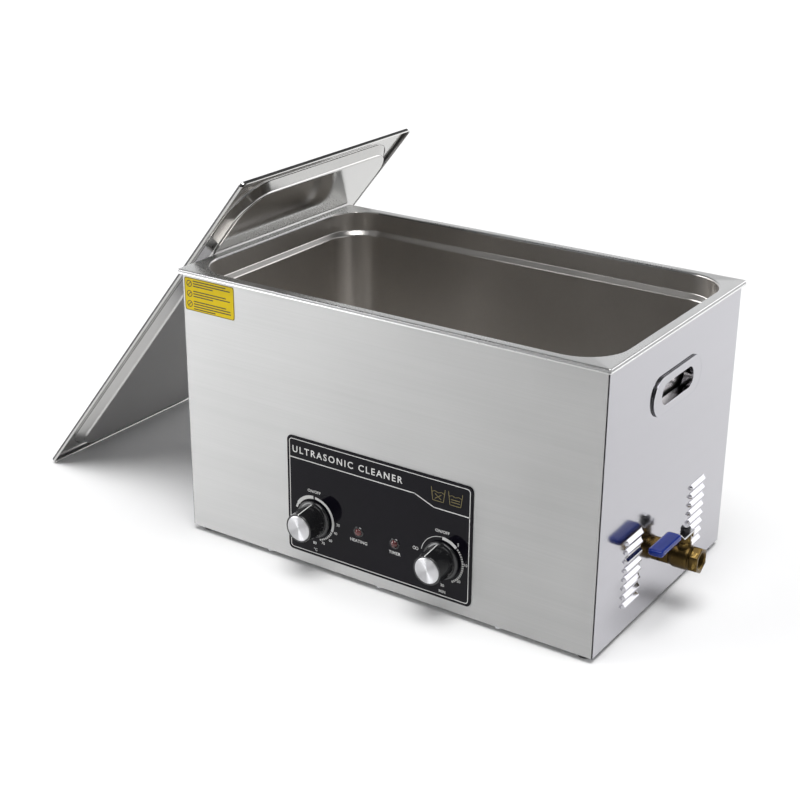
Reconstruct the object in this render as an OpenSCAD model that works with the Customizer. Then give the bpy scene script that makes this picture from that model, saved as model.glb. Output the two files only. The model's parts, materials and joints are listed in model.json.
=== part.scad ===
// Bench-top ultrasonic cleaner: gastronorm-size bath, dial controls, side drain valve and loose lid.
// Frame: origin on the bench under the middle of the cabinet, +X to the drain side, -Y to the front, +Z up.

/* [Cabinet] */
// Width of the cabinet
body_w = 523; // [480:1:526]
// Depth of the cabinet, front to back
body_d = 315; // [300:1:318]
// Height of the bath's rim above the bench
rim_z = 320; // [312:1:340]
// Thickness of the stainless sheet
sheet = 1; // [0.8:0.1:1.2]
// Height of the rubber feet below the panels
foot_h = 6; // [4:1:8]

/* [Bath] */
// Length of the bath's rim
rim_w = 530; // [528:1:534]
// Depth of the bath's rim, front to back
rim_d = 325; // [323:1:328]
// Width of the flat rim round the opening
rim_flat = 12; // [11:0.5:13]
// Depth of the bath below its rim
bath_depth = 200; // [190:1:205]
// Corner radius of the bath's opening
bath_r = 48; // [40:1:52]
// Height of the rim's turned-down edge
rim_lip = 5; // [4:0.5:7]

/* [Controls] */
// Width of the black control plate
plate_w = 238; // [236:1:250]
// Height of the black control plate
plate_h = 139; // [136:1:144]
// Distance of each dial from the middle of the plate
dial_x = 83; // [80:1:84]
// Height of the dials above the bench
dial_z = 65; // [62:1:68]
// Distance of each lamp from the middle of the plate
lamp_x = 23.5; // [20:0.5:30]
// Length of a knob, from its skirt to its cap
knob_h = 28.5; // [24:0.5:32]

/* [Drain] */
// Height of the drain pipe's axis above the bench
drain_z = 61; // [58:1:64]
// Distance of the valve's stem from the side panel
stem_x = 23.4; // [23:0.1:24]
// Length of the valve's lever from its stem
lever_l = 76; // [70:1:84]

/* [Handles and vents] */
// Height of the middle of the carrying handles
grip_z = 250.5; // [240:0.5:255]
// Number of louvres in a column
louvre_rows = 8; // [4:1:8]
// Pitch of the louvres
louvre_pitch = 10.4; // [10:0.1:10.8]

/* [Lid] */
// Angle at which the lid leans against the rim
lid_lean = 51.5; // [50:0.5:55]
// Distance of the lid's middle behind the cabinet's middle
lid_shift = 40; // [30:1:50]
// Depth of the lid's pressed centre
lid_press = 12; // [10:0.5:14]

/* [Transducers] */
// Spacing of the transducers along the bath
trans_dx = 90; // [80:1:92]
// Distance of each row of transducers from the middle
trans_dy = 68; // [60:1:75]

/* [Hidden] */
$fn = 48;

steel = "gainsboro";
brass = "darkkhaki";

hx = body_w / 2;
hy = body_d / 2;
gap = 0.3;                             // air between neighbouring sheet edges
flange_w = 9;                          // width of the panels' folded flanges
top_flange_w = 5;                      // width of those below the rim, clear of the bath's collar
foot_clear = 30;                       // length by which the bottom flanges stop short of the feet
panel_top = rim_z - 2 * sheet;         // the gasket lies between the panels and the rim
base_t = 1.5;
base_top = foot_h + sheet + base_t;
corner = 1.3;                          // setback of the front and rear sheets from the corner

// Bath, inside sizes
bath_w = rim_w - 2 * rim_flat;
bath_d = rim_d - 2 * rim_flat;
collar_h = 24;
ledge = 5;
well_w = bath_w - 2 * ledge;
well_d = bath_d - 2 * ledge;
well_r = bath_r - ledge;
well_top = rim_z - collar_h - ledge;
floor_z = rim_z - bath_depth;          // inside face of the bath's floor
under_z = floor_z - sheet;             // outside face of the bath's floor
bend_r = 16;
bend_steps = 4;

// Controls
plate_t = 1.2;
plate_z = 88.5;
plate_y = -hy - plate_t;
bushing_r = 4.8;
shaft_r = 3;
fit = 0.05;                            // running clearance, on the radius
knob_y = plate_y - 0.8;
skirt_r = 21.5;
skirt_h = 3.5;
knob_r = 19;
knob_tip_r = 16.6;
cap_r = 15.3;
lamp_r = 4.6;

// Drain
drain_x = 205;
hose_bend = 24;
hose_r = 12.6;
shank_r = 9.6;
nipple_r = 10.4;
pipe_bore = 7.2;
ball_r = 9.2;
seat_r = 11.4;
stem_r = 4;
outlet_x = 44;
outlet_r = 9.3;
chimney_h = 18;
lever_z = 26.5;                        // lever plate above the pipe's axis
lever_t = 2.5;
lever_w = 12;
crank_z = 8.5;

// Handles
grip_l = 116;
grip_h = 43;
grip_depth = 4;
slot_l = 75;
slot_h = 20.5;
slot_lip = 5;

// Louvres
louvre_w = 37;
louvre_y = 78;
louvre_z0 = 36;
louvre_out = 3.4;

// Transducers
front_h = 28;
piezo_t = 6;
back_h = 18;
foil_t = 0.4;
piezo_z = under_z - front_h;
back_z = piezo_z - 2 * piezo_t - 2 * foil_t;

// Rear panel
fan_x = -150;
fan_z = 62;
fan_size = 80;
fan_depth = 25;
fan_r = 38;
inlet_x = 150;
inlet_z = 48;
inlet_w = 27.5;
inlet_h = 31;

// Feet
foot_x = hx - 14.5;
foot_y = hy - 14.5;
foot_r = 10;

// Lid, in its own flat frame, and where it leans
lid_lip = 5;
lid_r = 6;
lid_edge = 14;
lid_under = lid_press + gap;
lid_tz = rim_w / 2 * sin(lid_lean) + lid_lip * cos(lid_lean);
lid_touch = (rim_z - lid_tz + lid_under * cos(lid_lean)) / sin(lid_lean);
lid_tx = -rim_w / 2 - lid_touch * cos(lid_lean) - lid_under * sin(lid_lean);

// ---------- helpers ----------
function rrect_pts(w, d, r, n = 8) = [
    for (c = [[1, 1, 0], [-1, 1, 90], [-1, -1, 180], [1, -1, 270]])
        for (i = [0:n])
            [c[0] * (w / 2 - r) + r * cos(c[2] + 90 * i / n),
             c[1] * (d / 2 - r) + r * sin(c[2] + 90 * i / n)]];

function stadium_pts(l, h, n = 12) = [
    for (s = [1, -1])
        for (i = [0:n])
            [s * ((l - h) / 2 + h / 2 * cos(180 * i / n - 90)), s * h / 2 * sin(180 * i / n - 90)]];

module rrect(w, d, r, n = 8) { polygon(rrect_pts(w, d, r, n)); }
module slab(w, d, h, r, n = 8) { linear_extrude(h) rrect(w, d, r, n); }
module block(x, y, z) {
    translate([x[0], y[0], z[0]]) cube([x[1] - x[0], y[1] - y[0], z[1] - z[0]]);
}
module xcyl(r, x0, x1, fn = 48) {
    translate([x0, 0, 0]) rotate([0, 90, 0]) cylinder(r = r, h = x1 - x0, $fn = fn);
}
module ycyl(r, y0, y1, fn = 48) {
    translate([0, y0, 0]) rotate([-90, 0, 0]) cylinder(r = r, h = y1 - y0, $fn = fn);
}
module zcyl(r, z0, z1, fn = 48) {
    translate([0, 0, z0]) cylinder(r = r, h = z1 - z0, $fn = fn);
}
function hex_r(af) = af / 2 / cos(30);

// Pan-head screw along -Z: the head stands on z = 0 and the shank goes down
module pan_screw(r, head_r, head_h, l) {
    difference() {
        union() {
            zcyl(head_r, 0, head_h);
            zcyl(r, -l, 0.01);
        }
        for (a = [0, 90])
            rotate([0, 0, a]) block([-head_r * 0.6, head_r * 0.6], [-0.5, 0.5], [head_h - 1, head_h + 1]);
    }
}

// Places children at each screw of the rear panel; they point out of the back
rear_edge_x = [-245, -85, 85, 245];
rear_edge_z = [22, panel_top - 16];
module at_rear_edge() {
    for (x = rear_edge_x) for (z = rear_edge_z) translate([x, hy, z]) rotate([-90, 0, 0]) children();
}
module at_fan_screws() {
    for (i = [-1, 1]) for (j = [-1, 1])
        translate([fan_x + i * 35.75, hy, fan_z + j * 35.75]) rotate([-90, 0, 0]) children();
}
module at_inlet_screws() {
    for (i = [-1, 1]) translate([inlet_x + i * 20, hy, inlet_z]) rotate([-90, 0, 0]) children();
}
module at_base_screws() {
    for (i = [-1, 1]) {
        for (x = [-150, 0, 150]) translate([x, i * (hy - 5.5), foot_h]) rotate([180, 0, 0]) children();
        for (y = [-60, 60]) translate([i * (hx - 5.5), y, foot_h]) rotate([180, 0, 0]) children();
    }
}
module at_feet() {
    for (i = [-1, 1]) for (j = [-1, 1]) translate([i * foot_x, j * foot_y, 0]) children();
}
module at_transducers() {
    for (i = [-2:2]) for (j = [-1, 1]) translate([i * trans_dx, j * trans_dy, 0]) children();
}
module at_dial(s) { translate([s * dial_x, 0, dial_z]) children(); }
module at_valve() { translate([hx, 0, drain_z]) children(); }
module at_stem() { at_valve() translate([stem_x, 0, 0]) children(); }
module at_lid() {
    translate([lid_tx, lid_shift, lid_tz]) rotate([0, -lid_lean, 0]) children();
}

// ---------- cabinet ----------
module front_panel() {
    w = hx - corner;
    color(steel) difference() {
        union() {
            block([-w, w], [-hy, -hy + sheet], [foot_h, panel_top]);
            for (s = [-1, 1]) block([min(s * w, s * (w - sheet)), max(s * w, s * (w - sheet))],
                [-hy, -hy + flange_w], [foot_h + sheet + 4, panel_top - 8]);
            block([-w + foot_clear, w - foot_clear], [-hy, -hy + flange_w], [foot_h, foot_h + sheet]);
            block([-w + 8, w - 8], [-hy, -hy + top_flange_w], [panel_top - sheet, panel_top]);
        }
        for (s = [-1, 1]) {
            at_dial(s) ycyl(bushing_r + 0.2, -hy - 1, -hy + sheet + 1);
            translate([s * lamp_x, 0, dial_z + 1]) ycyl(lamp_r + 0.2, -hy - 1, -hy + sheet + 1);
        }
        at_base_screws() zcyl(2.1, -3, 1);
    }
}

// Hood of one louvre, its opening downward, drawn at the panel's outer face
module louvre_hood() {
    n = 5;
    t = 0.7;
    rise = 4.2;
    arc = [for (i = [0:n]) [louvre_out * sin(90 * i / n), rise * cos(90 * i / n)]];
    inner = [for (i = [n:-1:0]) [(louvre_out - t) * sin(90 * i / n), (rise - t) * cos(90 * i / n)]];
    translate([0, louvre_w / 2, 0]) rotate([90, 0, 0]) linear_extrude(louvre_w)
        polygon(concat([[-sheet, rise]], arc, [[louvre_out, -1.2], [louvre_out - t, -1.2]], inner,
            [[-sheet, rise - t]]));
}

// A side panel for the right side, its outer face at x = hx
module side_panel() {
    y1 = hy - corner;
    difference() {
        union() {
            difference() {
                block([hx - sheet, hx], [-y1, y1], [foot_h, panel_top]);
                translate([hx - sheet - 1, 0, grip_z]) rotate([90, 0, 90])
                    linear_extrude(sheet + 2) polygon(stadium_pts(grip_l, grip_h));
                for (s = [-1, 1]) for (i = [0:louvre_rows - 1])
                    translate([0, s * louvre_y, louvre_z0 + i * louvre_pitch])
                        block([hx - sheet - 1, hx + 1], [-louvre_w / 2, louvre_w / 2], [-1.2, 3.5]);
            }
            block([hx - flange_w, hx], [-y1 + foot_clear, y1 - foot_clear], [foot_h, foot_h + sheet]);
            block([hx - top_flange_w, hx], [-y1 + 12, y1 - 12], [panel_top - sheet, panel_top]);
            block([hx - flange_w - 8, hx - sheet / 2], [y1 - sheet, y1], [foot_h + 5, panel_top - 8]);
            // pressed recess of the handle and the lip round its slot
            translate([hx - grip_depth, 0, grip_z]) rotate([90, 0, 90]) {
                linear_extrude(sheet) difference() {
                    polygon(stadium_pts(grip_l, grip_h));
                    polygon(stadium_pts(slot_l, slot_h));
                }
                linear_extrude(grip_depth) difference() {
                    polygon(stadium_pts(grip_l + 2 * sheet, grip_h + 2 * sheet));
                    polygon(stadium_pts(grip_l, grip_h));
                }
                translate([0, 0, -slot_lip]) linear_extrude(slot_lip + sheet) difference() {
                    polygon(stadium_pts(slot_l + 2 * sheet, slot_h + 2 * sheet));
                    polygon(stadium_pts(slot_l, slot_h));
                }
            }
            for (s = [-1, 1]) for (i = [0:louvre_rows - 1])
                translate([hx, s * louvre_y, louvre_z0 + i * louvre_pitch]) louvre_hood();
        }
        at_base_screws() zcyl(2.1, -3, 1);
        at_rear_edge() zcyl(2.1, -5, 1);
    }
}
module right_side_panel() {
    color(steel) difference() {
        side_panel();
        at_valve() xcyl(nipple_r + 0.3, -sheet - 1, 1);
    }
}
module left_side_panel() { color(steel) mirror([1, 0, 0]) side_panel(); }

module rear_panel() {
    w = hx - corner;
    color(steel) difference() {
        union() {
            block([-w, w], [hy - sheet, hy], [foot_h, panel_top]);
            block([-w + foot_clear, w - foot_clear], [hy - flange_w, hy], [foot_h, foot_h + sheet]);
            block([-w + 22, w - 22], [hy - top_flange_w, hy], [panel_top - sheet, panel_top]);
        }
        translate([fan_x, 0, fan_z]) ycyl(fan_r, hy - 3, hy + 3);
        block([inlet_x - inlet_w / 2, inlet_x + inlet_w / 2], [hy - 3, hy + 3],
            [inlet_z - inlet_h / 2, inlet_z + inlet_h / 2]);
        for (x = [-60:12:60]) block([x - 2, x + 2], [hy - 3, hy + 3], [35, 90]);
        at_rear_edge() zcyl(2.1, -3, 1);
        at_fan_screws() zcyl(2.1, -3, 1);
        at_inlet_screws() zcyl(2.1, -3, 1);
        at_base_screws() zcyl(2.1, -3, 1);
    }
}

module base_plate() {
    color("silver") difference() {
        block([-hx + 3, hx - 3], [-hy + 2, hy - 3], [foot_h + sheet, base_top]);
        at_feet() zcyl(2.6, 0, 20);
        at_base_screws() zcyl(2.1, -5, 1);
        for (x = [-60:15:60]) for (y = [-30:15:30]) translate([x, y, 0]) zcyl(4, 0, 20);
    }
}
module rear_screws() {
    color("silver") {
        at_rear_edge() pan_screw(2, 4, 2.4, 5);
        at_fan_screws() translate([0, 0, 2]) pan_screw(2, 4, 2.4, 12);
        at_inlet_screws() translate([0, 0, 2.5]) pan_screw(2, 4, 2.4, 7);
    }
}
module base_screws() { color("silver") at_base_screws() pan_screw(2, 4, 2.4, 5); }
module rubber_feet() {
    color("dimgray") at_feet() difference() {
        cylinder(r1 = foot_r - 1, r2 = foot_r, h = foot_h + sheet);
        zcyl(2.5, -1, 20);
        zcyl(5.2, -1, 3);
    }
}
module foot_screws() {
    color("silver") at_feet() {
        translate([0, 0, 3]) rotate([180, 0, 0]) pan_screw(2.5, 4.8, 2.2, 12);
        difference() {
            zcyl(hex_r(8), base_top, base_top + 4, 6);
            zcyl(2.5, 0, 20);
        }
    }
}
module front_label() {
    color("gold") translate([-hx + 38.5, -hy, 292.5]) rotate([90, 0, 0]) slab(70, 38, 0.2, 1.5, 3);
}

// ---------- bath ----------
// Inward offset of the bath's floor bend at step i of bend_steps
function bend_in(i) = bend_r - sqrt(pow(bend_r, 2) - pow(bend_r - i * bend_r / bend_steps, 2));

// The bath's well as a solid, grown by g on every side and lowered by g
module well(g) {
    step = bend_r / bend_steps;
    for (i = [0:bend_steps - 1])
        translate([0, 0, floor_z - g + i * step])
            slab(well_w + 2 * g - 2 * bend_in(i), well_d + 2 * g - 2 * bend_in(i),
                step + 0.01, well_r + g - bend_in(i));
    translate([0, 0, floor_z - g + bend_r]) slab(well_w + 2 * g, well_d + 2 * g,
        well_top + ledge / 2 - floor_z - bend_r + (g > 0 ? 0 : ledge), well_r + g);
    translate([0, 0, well_top + ledge / 2 - g]) slab(bath_w - ledge + 2 * g, bath_d - ledge + 2 * g,
        ledge, bath_r - ledge / 2 + g);
    translate([0, 0, rim_z - collar_h - g]) slab(bath_w + 2 * g, bath_d + 2 * g,
        collar_h + g + (g > 0 ? -sheet / 2 : 1), bath_r + g);
}
module tank() {
    color(steel) difference() {
        union() {
            well(sheet);
            translate([0, 0, rim_z - sheet]) slab(rim_w, rim_d, sheet, 3);
            translate([0, 0, rim_z - rim_lip]) linear_extrude(rim_lip) difference() {
                rrect(rim_w, rim_d, 3);
                rrect(rim_w - 2 * sheet, rim_d - 2 * sheet, 3 - sheet);
            }
        }
        well(0);
        translate([drain_x, 0, 0]) zcyl(shank_r, under_z - 5, floor_z + 5);
    }
}
module rim_gasket() {
    color("black") translate([0, 0, panel_top]) linear_extrude(sheet) difference() {
        rrect(body_w - 1, body_d - 1, 3);
        rrect(bath_w + 2 * sheet + 0.6, bath_d + 2 * sheet + 0.6, bath_r + sheet);
    }
}

// ---------- controls ----------
module control_plate() {
    color("black") difference() {
        translate([0, -hy, plate_z]) rotate([90, 0, 0]) slab(plate_w, plate_h, plate_t, 6);
        for (s = [-1, 1]) {
            at_dial(s) ycyl(bushing_r + 0.2, plate_y - 1, -hy + 1);
            translate([s * lamp_x, 0, dial_z + 1]) ycyl(lamp_r + 0.2, plate_y - 1, -hy + 1);
        }
    }
}
module lamp(s) {
    translate([s * lamp_x, 0, dial_z + 1]) {
        ycyl(lamp_r, plate_y, -hy + 22);
        difference() {
            translate([0, plate_y + 4, 0]) sphere(r = 7.6);
            ycyl(20, plate_y, -hy + 30);
        }
    }
}
module heating_lamp() { color("tomato") lamp(-1); }
module timer_lamp() { color("tomato") lamp(1); }

// Switch body behind the panel with its threaded bushing through the plate
module switch_body(s, w, h, d) {
    at_dial(s) difference() {
        union() {
            block([-w / 2, w / 2], [-hy + sheet, -hy + sheet + d], [-h / 2, h / 2]);
            ycyl(bushing_r, plate_y - 4, -hy + sheet + 1);
        }
        ycyl(shaft_r + fit, plate_y - 6, -hy + 12);
    }
}
module thermostat_body() { color("silver") switch_body(-1, 36, 44, 28); }
module timer_body() { color("ivory") switch_body(1, 46, 46, 38); }
module dial_shaft(s) { at_dial(s) ycyl(shaft_r, knob_y - 20, -hy + 10); }
module thermostat_shaft() { color("silver") dial_shaft(-1); }
module timer_shaft() { color("silver") dial_shaft(1); }
module bushing_nuts() {
    color("silver") for (s = [-1, 1]) at_dial(s) difference() {
        ycyl(hex_r(14), plate_y - 3, plate_y, 6);
        ycyl(bushing_r, plate_y - 5, plate_y + 1);
    }
}
module knob(s) {
    at_dial(s) difference() {
        union() {
            ycyl(skirt_r, knob_y - skirt_h, knob_y);
            translate([0, knob_y, 0]) rotate([90, 0, 0]) cylinder(r1 = knob_r, r2 = knob_tip_r, h = knob_h);
        }
        ycyl(cap_r, knob_y - knob_h - 1, knob_y - knob_h + 1);
        ycyl(10.5, knob_y - 5, knob_y + 1);
        ycyl(shaft_r, knob_y - 20, knob_y);
    }
}
module heat_knob() { color("black") knob(-1); }
module timer_knob() { color("black") knob(1); }
module knob_cap(s) { at_dial(s) ycyl(cap_r, knob_y - knob_h - 0.4, knob_y - knob_h + 1); }
module heat_knob_cap() { color("silver") knob_cap(-1); }
module timer_knob_cap() { color("silver") knob_cap(1); }

// Sensing bulb under the bath and its thin capillary down to the thermostat
bulb_z = under_z - 3.2;
capillary = [[-130, 0, bulb_z], [-130, -100, bulb_z], [-130, -140, 100], [-96, -140, 100], [-96, -140, 87]];
module rod(a, b, r) {
    v = b - a;
    translate(a) rotate([0, acos(v[2] / norm(v)), atan2(v[1], v[0])]) cylinder(r = r, h = norm(v));
}
module thermostat_bulb() {
    color("peru") {
        translate([0, 0, bulb_z]) xcyl(3.2, -130, -50);
        for (i = [0:len(capillary) - 2]) rod(capillary[i], capillary[i + 1], 1);
        for (i = [1:len(capillary) - 2]) translate(capillary[i]) sphere(r = 1.3);
    }
}

// ---------- transducers and heater ----------
module transducer_front_masses() {
    color("silver") at_transducers() difference() {
        translate([0, 0, piezo_z]) cylinder(r1 = 19, r2 = 24, h = front_h);
        zcyl(4.9, piezo_z - 1, piezo_z + 14);
    }
}
module piezo_rings() {
    color("whitesmoke") at_transducers() for (i = [0, 1])
        translate([0, 0, piezo_z - (i + 1) * (piezo_t + foil_t) + foil_t]) difference() {
            zcyl(19, 0, piezo_t);
            zcyl(7, -1, piezo_t + 1);
        }
}
module transducer_electrodes() {
    color("gold") at_transducers() for (i = [0, 1])
        translate([0, 0, piezo_z - (i + 1) * (piezo_t + foil_t)]) difference() {
            union() {
                zcyl(19, 0, foil_t);
                block([-3, 3], [0, 27], [0, foil_t]);
            }
            zcyl(7, -1, 2);
        }
}
module transducer_back_masses() {
    color("gray") at_transducers() difference() {
        zcyl(19, back_z - back_h, back_z);
        zcyl(5.2, back_z - back_h - 1, back_z + 1);
    }
}
module transducer_bolts() {
    color("dimgray") at_transducers() difference() {
        union() {
            zcyl(4.9, back_z - back_h - 1, piezo_z + 14);
            zcyl(8, back_z - back_h - 7, back_z - back_h);
        }
        zcyl(hex_r(7), back_z - back_h - 8, back_z - back_h - 3, 6);
    }
}
module heater_pads() {
    y0 = well_d / 2 + sheet;
    color("orangered") for (s = [-1, 1]) translate([0, s * (y0 + 1), 190])
        block([-160, 160], [-1, 1], [-40, 40]);
}

// ---------- electronics ----------
board_x = -140;
board_y = 50;
board_z = base_top + 8;
module at_board() { translate([board_x, board_y, board_z]) children(); }
module at_board_holes() {
    at_board() for (i = [-1, 1]) for (j = [-1, 1]) translate([i * 82, j * 42, 0]) children();
}
module circuit_board() {
    color("green") difference() {
        at_board() block([-88, 88], [-48, 48], [0, 1.6]);
        at_board_holes() zcyl(1.6, -1, 3);
    }
}
module board_standoffs() {
    color("silver") at_board_holes() {
        zcyl(hex_r(6), base_top - board_z, 0, 6);
        zcyl(1.5, -1, 1.6);
        zcyl(2.8, 1.6, 3.2);
    }
}
module heat_sinks() {
    color("silver") at_board() for (x = [-45, 25]) translate([x, 20, 1.6]) {
        block([-25, 25], [-2, 2], [0, 26]);
        for (i = [-4:4]) block([i * 6 - 0.8, i * 6 + 0.8], [-10, 10], [4, 26]);
    }
}
module capacitors() {
    color("steelblue") at_board() for (i = [0:3]) translate([-60 + i * 26, -24, 1.6]) zcyl(9, 0, 24);
}
module at_transformer() { translate([110, 62, base_top]) children(); }
module transformer_core() {
    color("darkgray") at_transformer() difference() {
        zcyl(34, 3, 29);
        zcyl(20, 2, 30);
    }
}
module transformer_winding() {
    color("sienna") at_transformer() difference() {
        zcyl(38, 0, 32);
        zcyl(34, 3, 29);
        zcyl(15, -1, 33);
    }
}

// ---------- rear fan and inlet ----------
module at_fan() { translate([fan_x, hy - sheet, fan_z]) children(); }
module fan_frame() {
    h = fan_size / 2;
    color("dimgray") at_fan() {
        difference() {
            block([-h, h], [-fan_depth, 0], [-h, h]);
            ycyl(fan_r, -fan_depth - 1, 1);
            for (i = [-1, 1]) for (j = [-1, 1])
                translate([i * 35.75, 0, j * 35.75]) ycyl(2, -fan_depth - 1, 1);
        }
        difference() {
            union() {
                for (a = [45:90:315])
                    rotate([0, a, 0]) block([9, fan_r + 1], [-fan_depth, -fan_depth + 2.5], [-2, 2]);
                ycyl(14, -fan_depth, -fan_depth + 3);
            }
            ycyl(1, -fan_depth - 1, 1);
        }
        ycyl(2, -fan_depth + 2, -8);
    }
}
module fan_rotor() {
    color("darkslategray") at_fan() difference() {
        union() {
            ycyl(15, -fan_depth + 4, -2);
            for (i = [0:6]) rotate([0, i * 360 / 7, 0]) translate([25, -11, 0]) rotate([35, 0, 0])
                cube([23, 1.4, 18], center = true);
        }
        ycyl(2 + fit, -fan_depth, -7);
    }
}
module fan_guard() {
    color("silver") translate([fan_x, hy + 1, fan_z]) {
        for (r = [10:9:37])
            rotate([90, 0, 0]) rotate_extrude() translate([r, 0]) square([1.6, 1.6], center = true);
        for (a = [45, 135]) rotate([0, a, 0]) difference() {
            block([-53.5, 53.5], [-1, 1], [-1, 1]);
            for (s = [-1, 1]) translate([s * 50.56, 0, 0]) ycyl(2, -3, 3);
        }
        for (i = [-1, 1]) for (j = [-1, 1]) translate([i * 35.75, 0, j * 35.75]) difference() {
            ycyl(4, -1, 1);
            ycyl(2, -3, 3);
        }
    }
}
module at_inlet() { translate([inlet_x, hy, inlet_z]) children(); }
module mains_inlet() {
    color("black") at_inlet() {
        difference() {
            union() {
                translate([0, 2.5, 0]) rotate([90, 0, 0]) slab(50, 36, 2.5, 5);
                block([-inlet_w / 2 + 0.2, inlet_w / 2 - 0.2], [-24, 1],
                    [-inlet_h / 2 + 0.2, inlet_h / 2 - 0.2]);
            }
            block([-12.3, 12.3], [-15, 4], [-2, 14]);
            block([-11, 11], [-20, 4], [-13, -5]);
            for (i = [-1, 1]) translate([i * 20, 0, 0]) ycyl(2.1, -3, 4);
        }
        for (p = [[-7, 5], [0, 9], [7, 5]]) block([p[0] - 1, p[0] + 1], [-16, -1.5], [p[1] - 2, p[1] + 2]);
    }
}
module fuse_drawer() {
    color("black") at_inlet() {
        block([-10.7, 10.7], [-19.5, 2.8], [-12.7, -5.3]);
        block([-10.7, 10.7], [2.8, 4.2], [-12.7, -10.2]);
    }
}

// ---------- drain ----------
module drain_fitting() {
    color(steel) translate([drain_x, 0, 0]) difference() {
        union() {
            zcyl(19, floor_z, floor_z + 2);
            zcyl(shank_r, under_z - 24, floor_z + 1);
        }
        zcyl(pipe_bore, under_z - 30, floor_z + 5);
    }
}
module drain_locknut() {
    color(brass) translate([drain_x, 0, 0]) difference() {
        zcyl(hex_r(28), under_z - 8, under_z, 6);
        zcyl(shank_r, under_z - 10, under_z + 1);
    }
}
hose_top = under_z - 9;
module hose_solid(r) {
    translate([drain_x, 0, 0]) zcyl(r, drain_z + hose_bend, hose_top);
    translate([drain_x + hose_bend, 0, drain_z + hose_bend]) rotate([90, 0, 0])
        rotate([0, 0, 180]) rotate_extrude(angle = 90) translate([hose_bend, 0]) circle(r = r);
    translate([0, 0, drain_z]) xcyl(r, drain_x + hose_bend, hx - 9);
}
module drain_hose() {
    color("white") difference() {
        hose_solid(hose_r);
        translate([drain_x, 0, 0]) zcyl(shank_r, under_z - 24, hose_top + 1);
        translate([drain_x, 0, 0]) zcyl(pipe_bore, drain_z + hose_bend, hose_top);
        translate([drain_x + hose_bend, 0, drain_z + hose_bend]) rotate([90, 0, 0])
            rotate([0, 0, 180]) rotate_extrude(angle = 90) translate([hose_bend, 0]) circle(r = pipe_bore);
        translate([0, 0, drain_z]) xcyl(pipe_bore, drain_x + hose_bend, hx);
        translate([0, 0, drain_z]) xcyl(nipple_r, hx - 24, hx);
    }
}
module hose_clamps() {
    color("silver") {
        translate([drain_x, 0, 0]) difference() {
            zcyl(hose_r + 1.2, hose_top - 12, hose_top - 4);
            zcyl(hose_r, 0, 200);
        }
        translate([0, 0, drain_z]) difference() {
            xcyl(hose_r + 1.2, hx - 20, hx - 12);
            xcyl(hose_r, 0, 400);
        }
    }
}
module bulkhead_nipple() {
    color(brass) at_valve() difference() {
        xcyl(nipple_r, -24, 10);
        xcyl(pipe_bore, -30, 20);
    }
}
module bulkhead_nut() {
    color(brass) at_valve() difference() {
        xcyl(hex_r(27), -sheet - 6, -sheet, 6);
        xcyl(nipple_r, -30, 20);
    }
}
body_end = 34;
seat_in = 5.4;                         // reach of the ball's two seats from the stem
seat_out = 8.4;
module valve_body() {
    color(brass) at_valve() difference() {
        union() {
            xcyl(hex_r(25), 0, 11, 6);
            xcyl(12.2, 0, 13);
            translate([11, 0, 0]) rotate([0, 90, 0]) cylinder(r1 = 12.2, r2 = 13.8, h = 2.01);
            xcyl(13.8, 13, body_end);
            translate([stem_x, 0, 0]) zcyl(7.5, 5, chimney_h);
        }
        xcyl(nipple_r, -1, 10);
        xcyl(pipe_bore, 0, 20);
        xcyl(seat_r, stem_x - seat_out, 60);
        translate([stem_x, 0, 0]) zcyl(stem_r + fit, 3, 40);
    }
}
module valve_end() {
    color(brass) at_valve() difference() {
        union() {
            xcyl(hex_r(26), body_end, outlet_x, 6);
            xcyl(seat_r, stem_x + seat_out, body_end + 1);
        }
        xcyl(pipe_bore, 20, 60);
        xcyl(outlet_r, outlet_x - 8, outlet_x + 1);
    }
}
module valve_ball() {
    color("silver") at_stem() difference() {
        sphere(r = ball_r);
        ycyl(pipe_bore - 0.7, -20, 20);
        block([-2, 2], [-6, 6], [6.5, 12]);
    }
}
module valve_seats() {
    color("white") at_stem() difference() {
        union() {
            xcyl(seat_r, -seat_out, -seat_in);
            xcyl(seat_r, seat_in, seat_out);
        }
        sphere(r = ball_r + fit);
        xcyl(pipe_bore, -20, 20);
    }
}
module valve_stem() {
    color("silver") at_stem() {
        block([-1.9, 1.9], [-3.4, 3.4], [6.7, 9.6]);
        zcyl(stem_r, 9.5, lever_z);
        zcyl(3, lever_z - 1, lever_z + 9.5);
    }
}
module packing_nut() {
    color("dimgray") at_stem() difference() {
        zcyl(hex_r(13), chimney_h, lever_z - 0.5, 6);
        zcyl(stem_r + fit, 0, 40);
    }
}
module valve_lever() {
    t = lever_t;
    low = lever_z;
    high = lever_z + crank_z;
    heel = 11;
    profile = [[heel, low - 6], [heel, low + t], [-15, low + t], [-25, high + t], [-lever_l, high + t],
        [-lever_l, high], [-24, high], [-14, low], [heel - t, low], [heel - t, low - 6]];
    color("silver") at_stem() difference() {
        translate([-lever_w / 2, 0, 0]) rotate([90, 0, 90]) linear_extrude(lever_w) polygon(profile);
        zcyl(3, 0, 60);
    }
}
module lever_sleeve() {
    high = lever_z + crank_z;
    color("mediumblue") at_stem() difference() {
        translate([0, -(lever_l + 1 + 27) / 2, high - 2.2])
            slab(17, lever_l + 1 - 27, lever_t + 4.4, 4, 4);
        block([-lever_w / 2, lever_w / 2], [-lever_l, 0], [high, high + lever_t]);
    }
}
module lever_nut() {
    color("black") at_stem() difference() {
        zcyl(hex_r(10), lever_z + lever_t, lever_z + lever_t + 5.5, 6);
        zcyl(3, 0, 60);
    }
}

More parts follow.
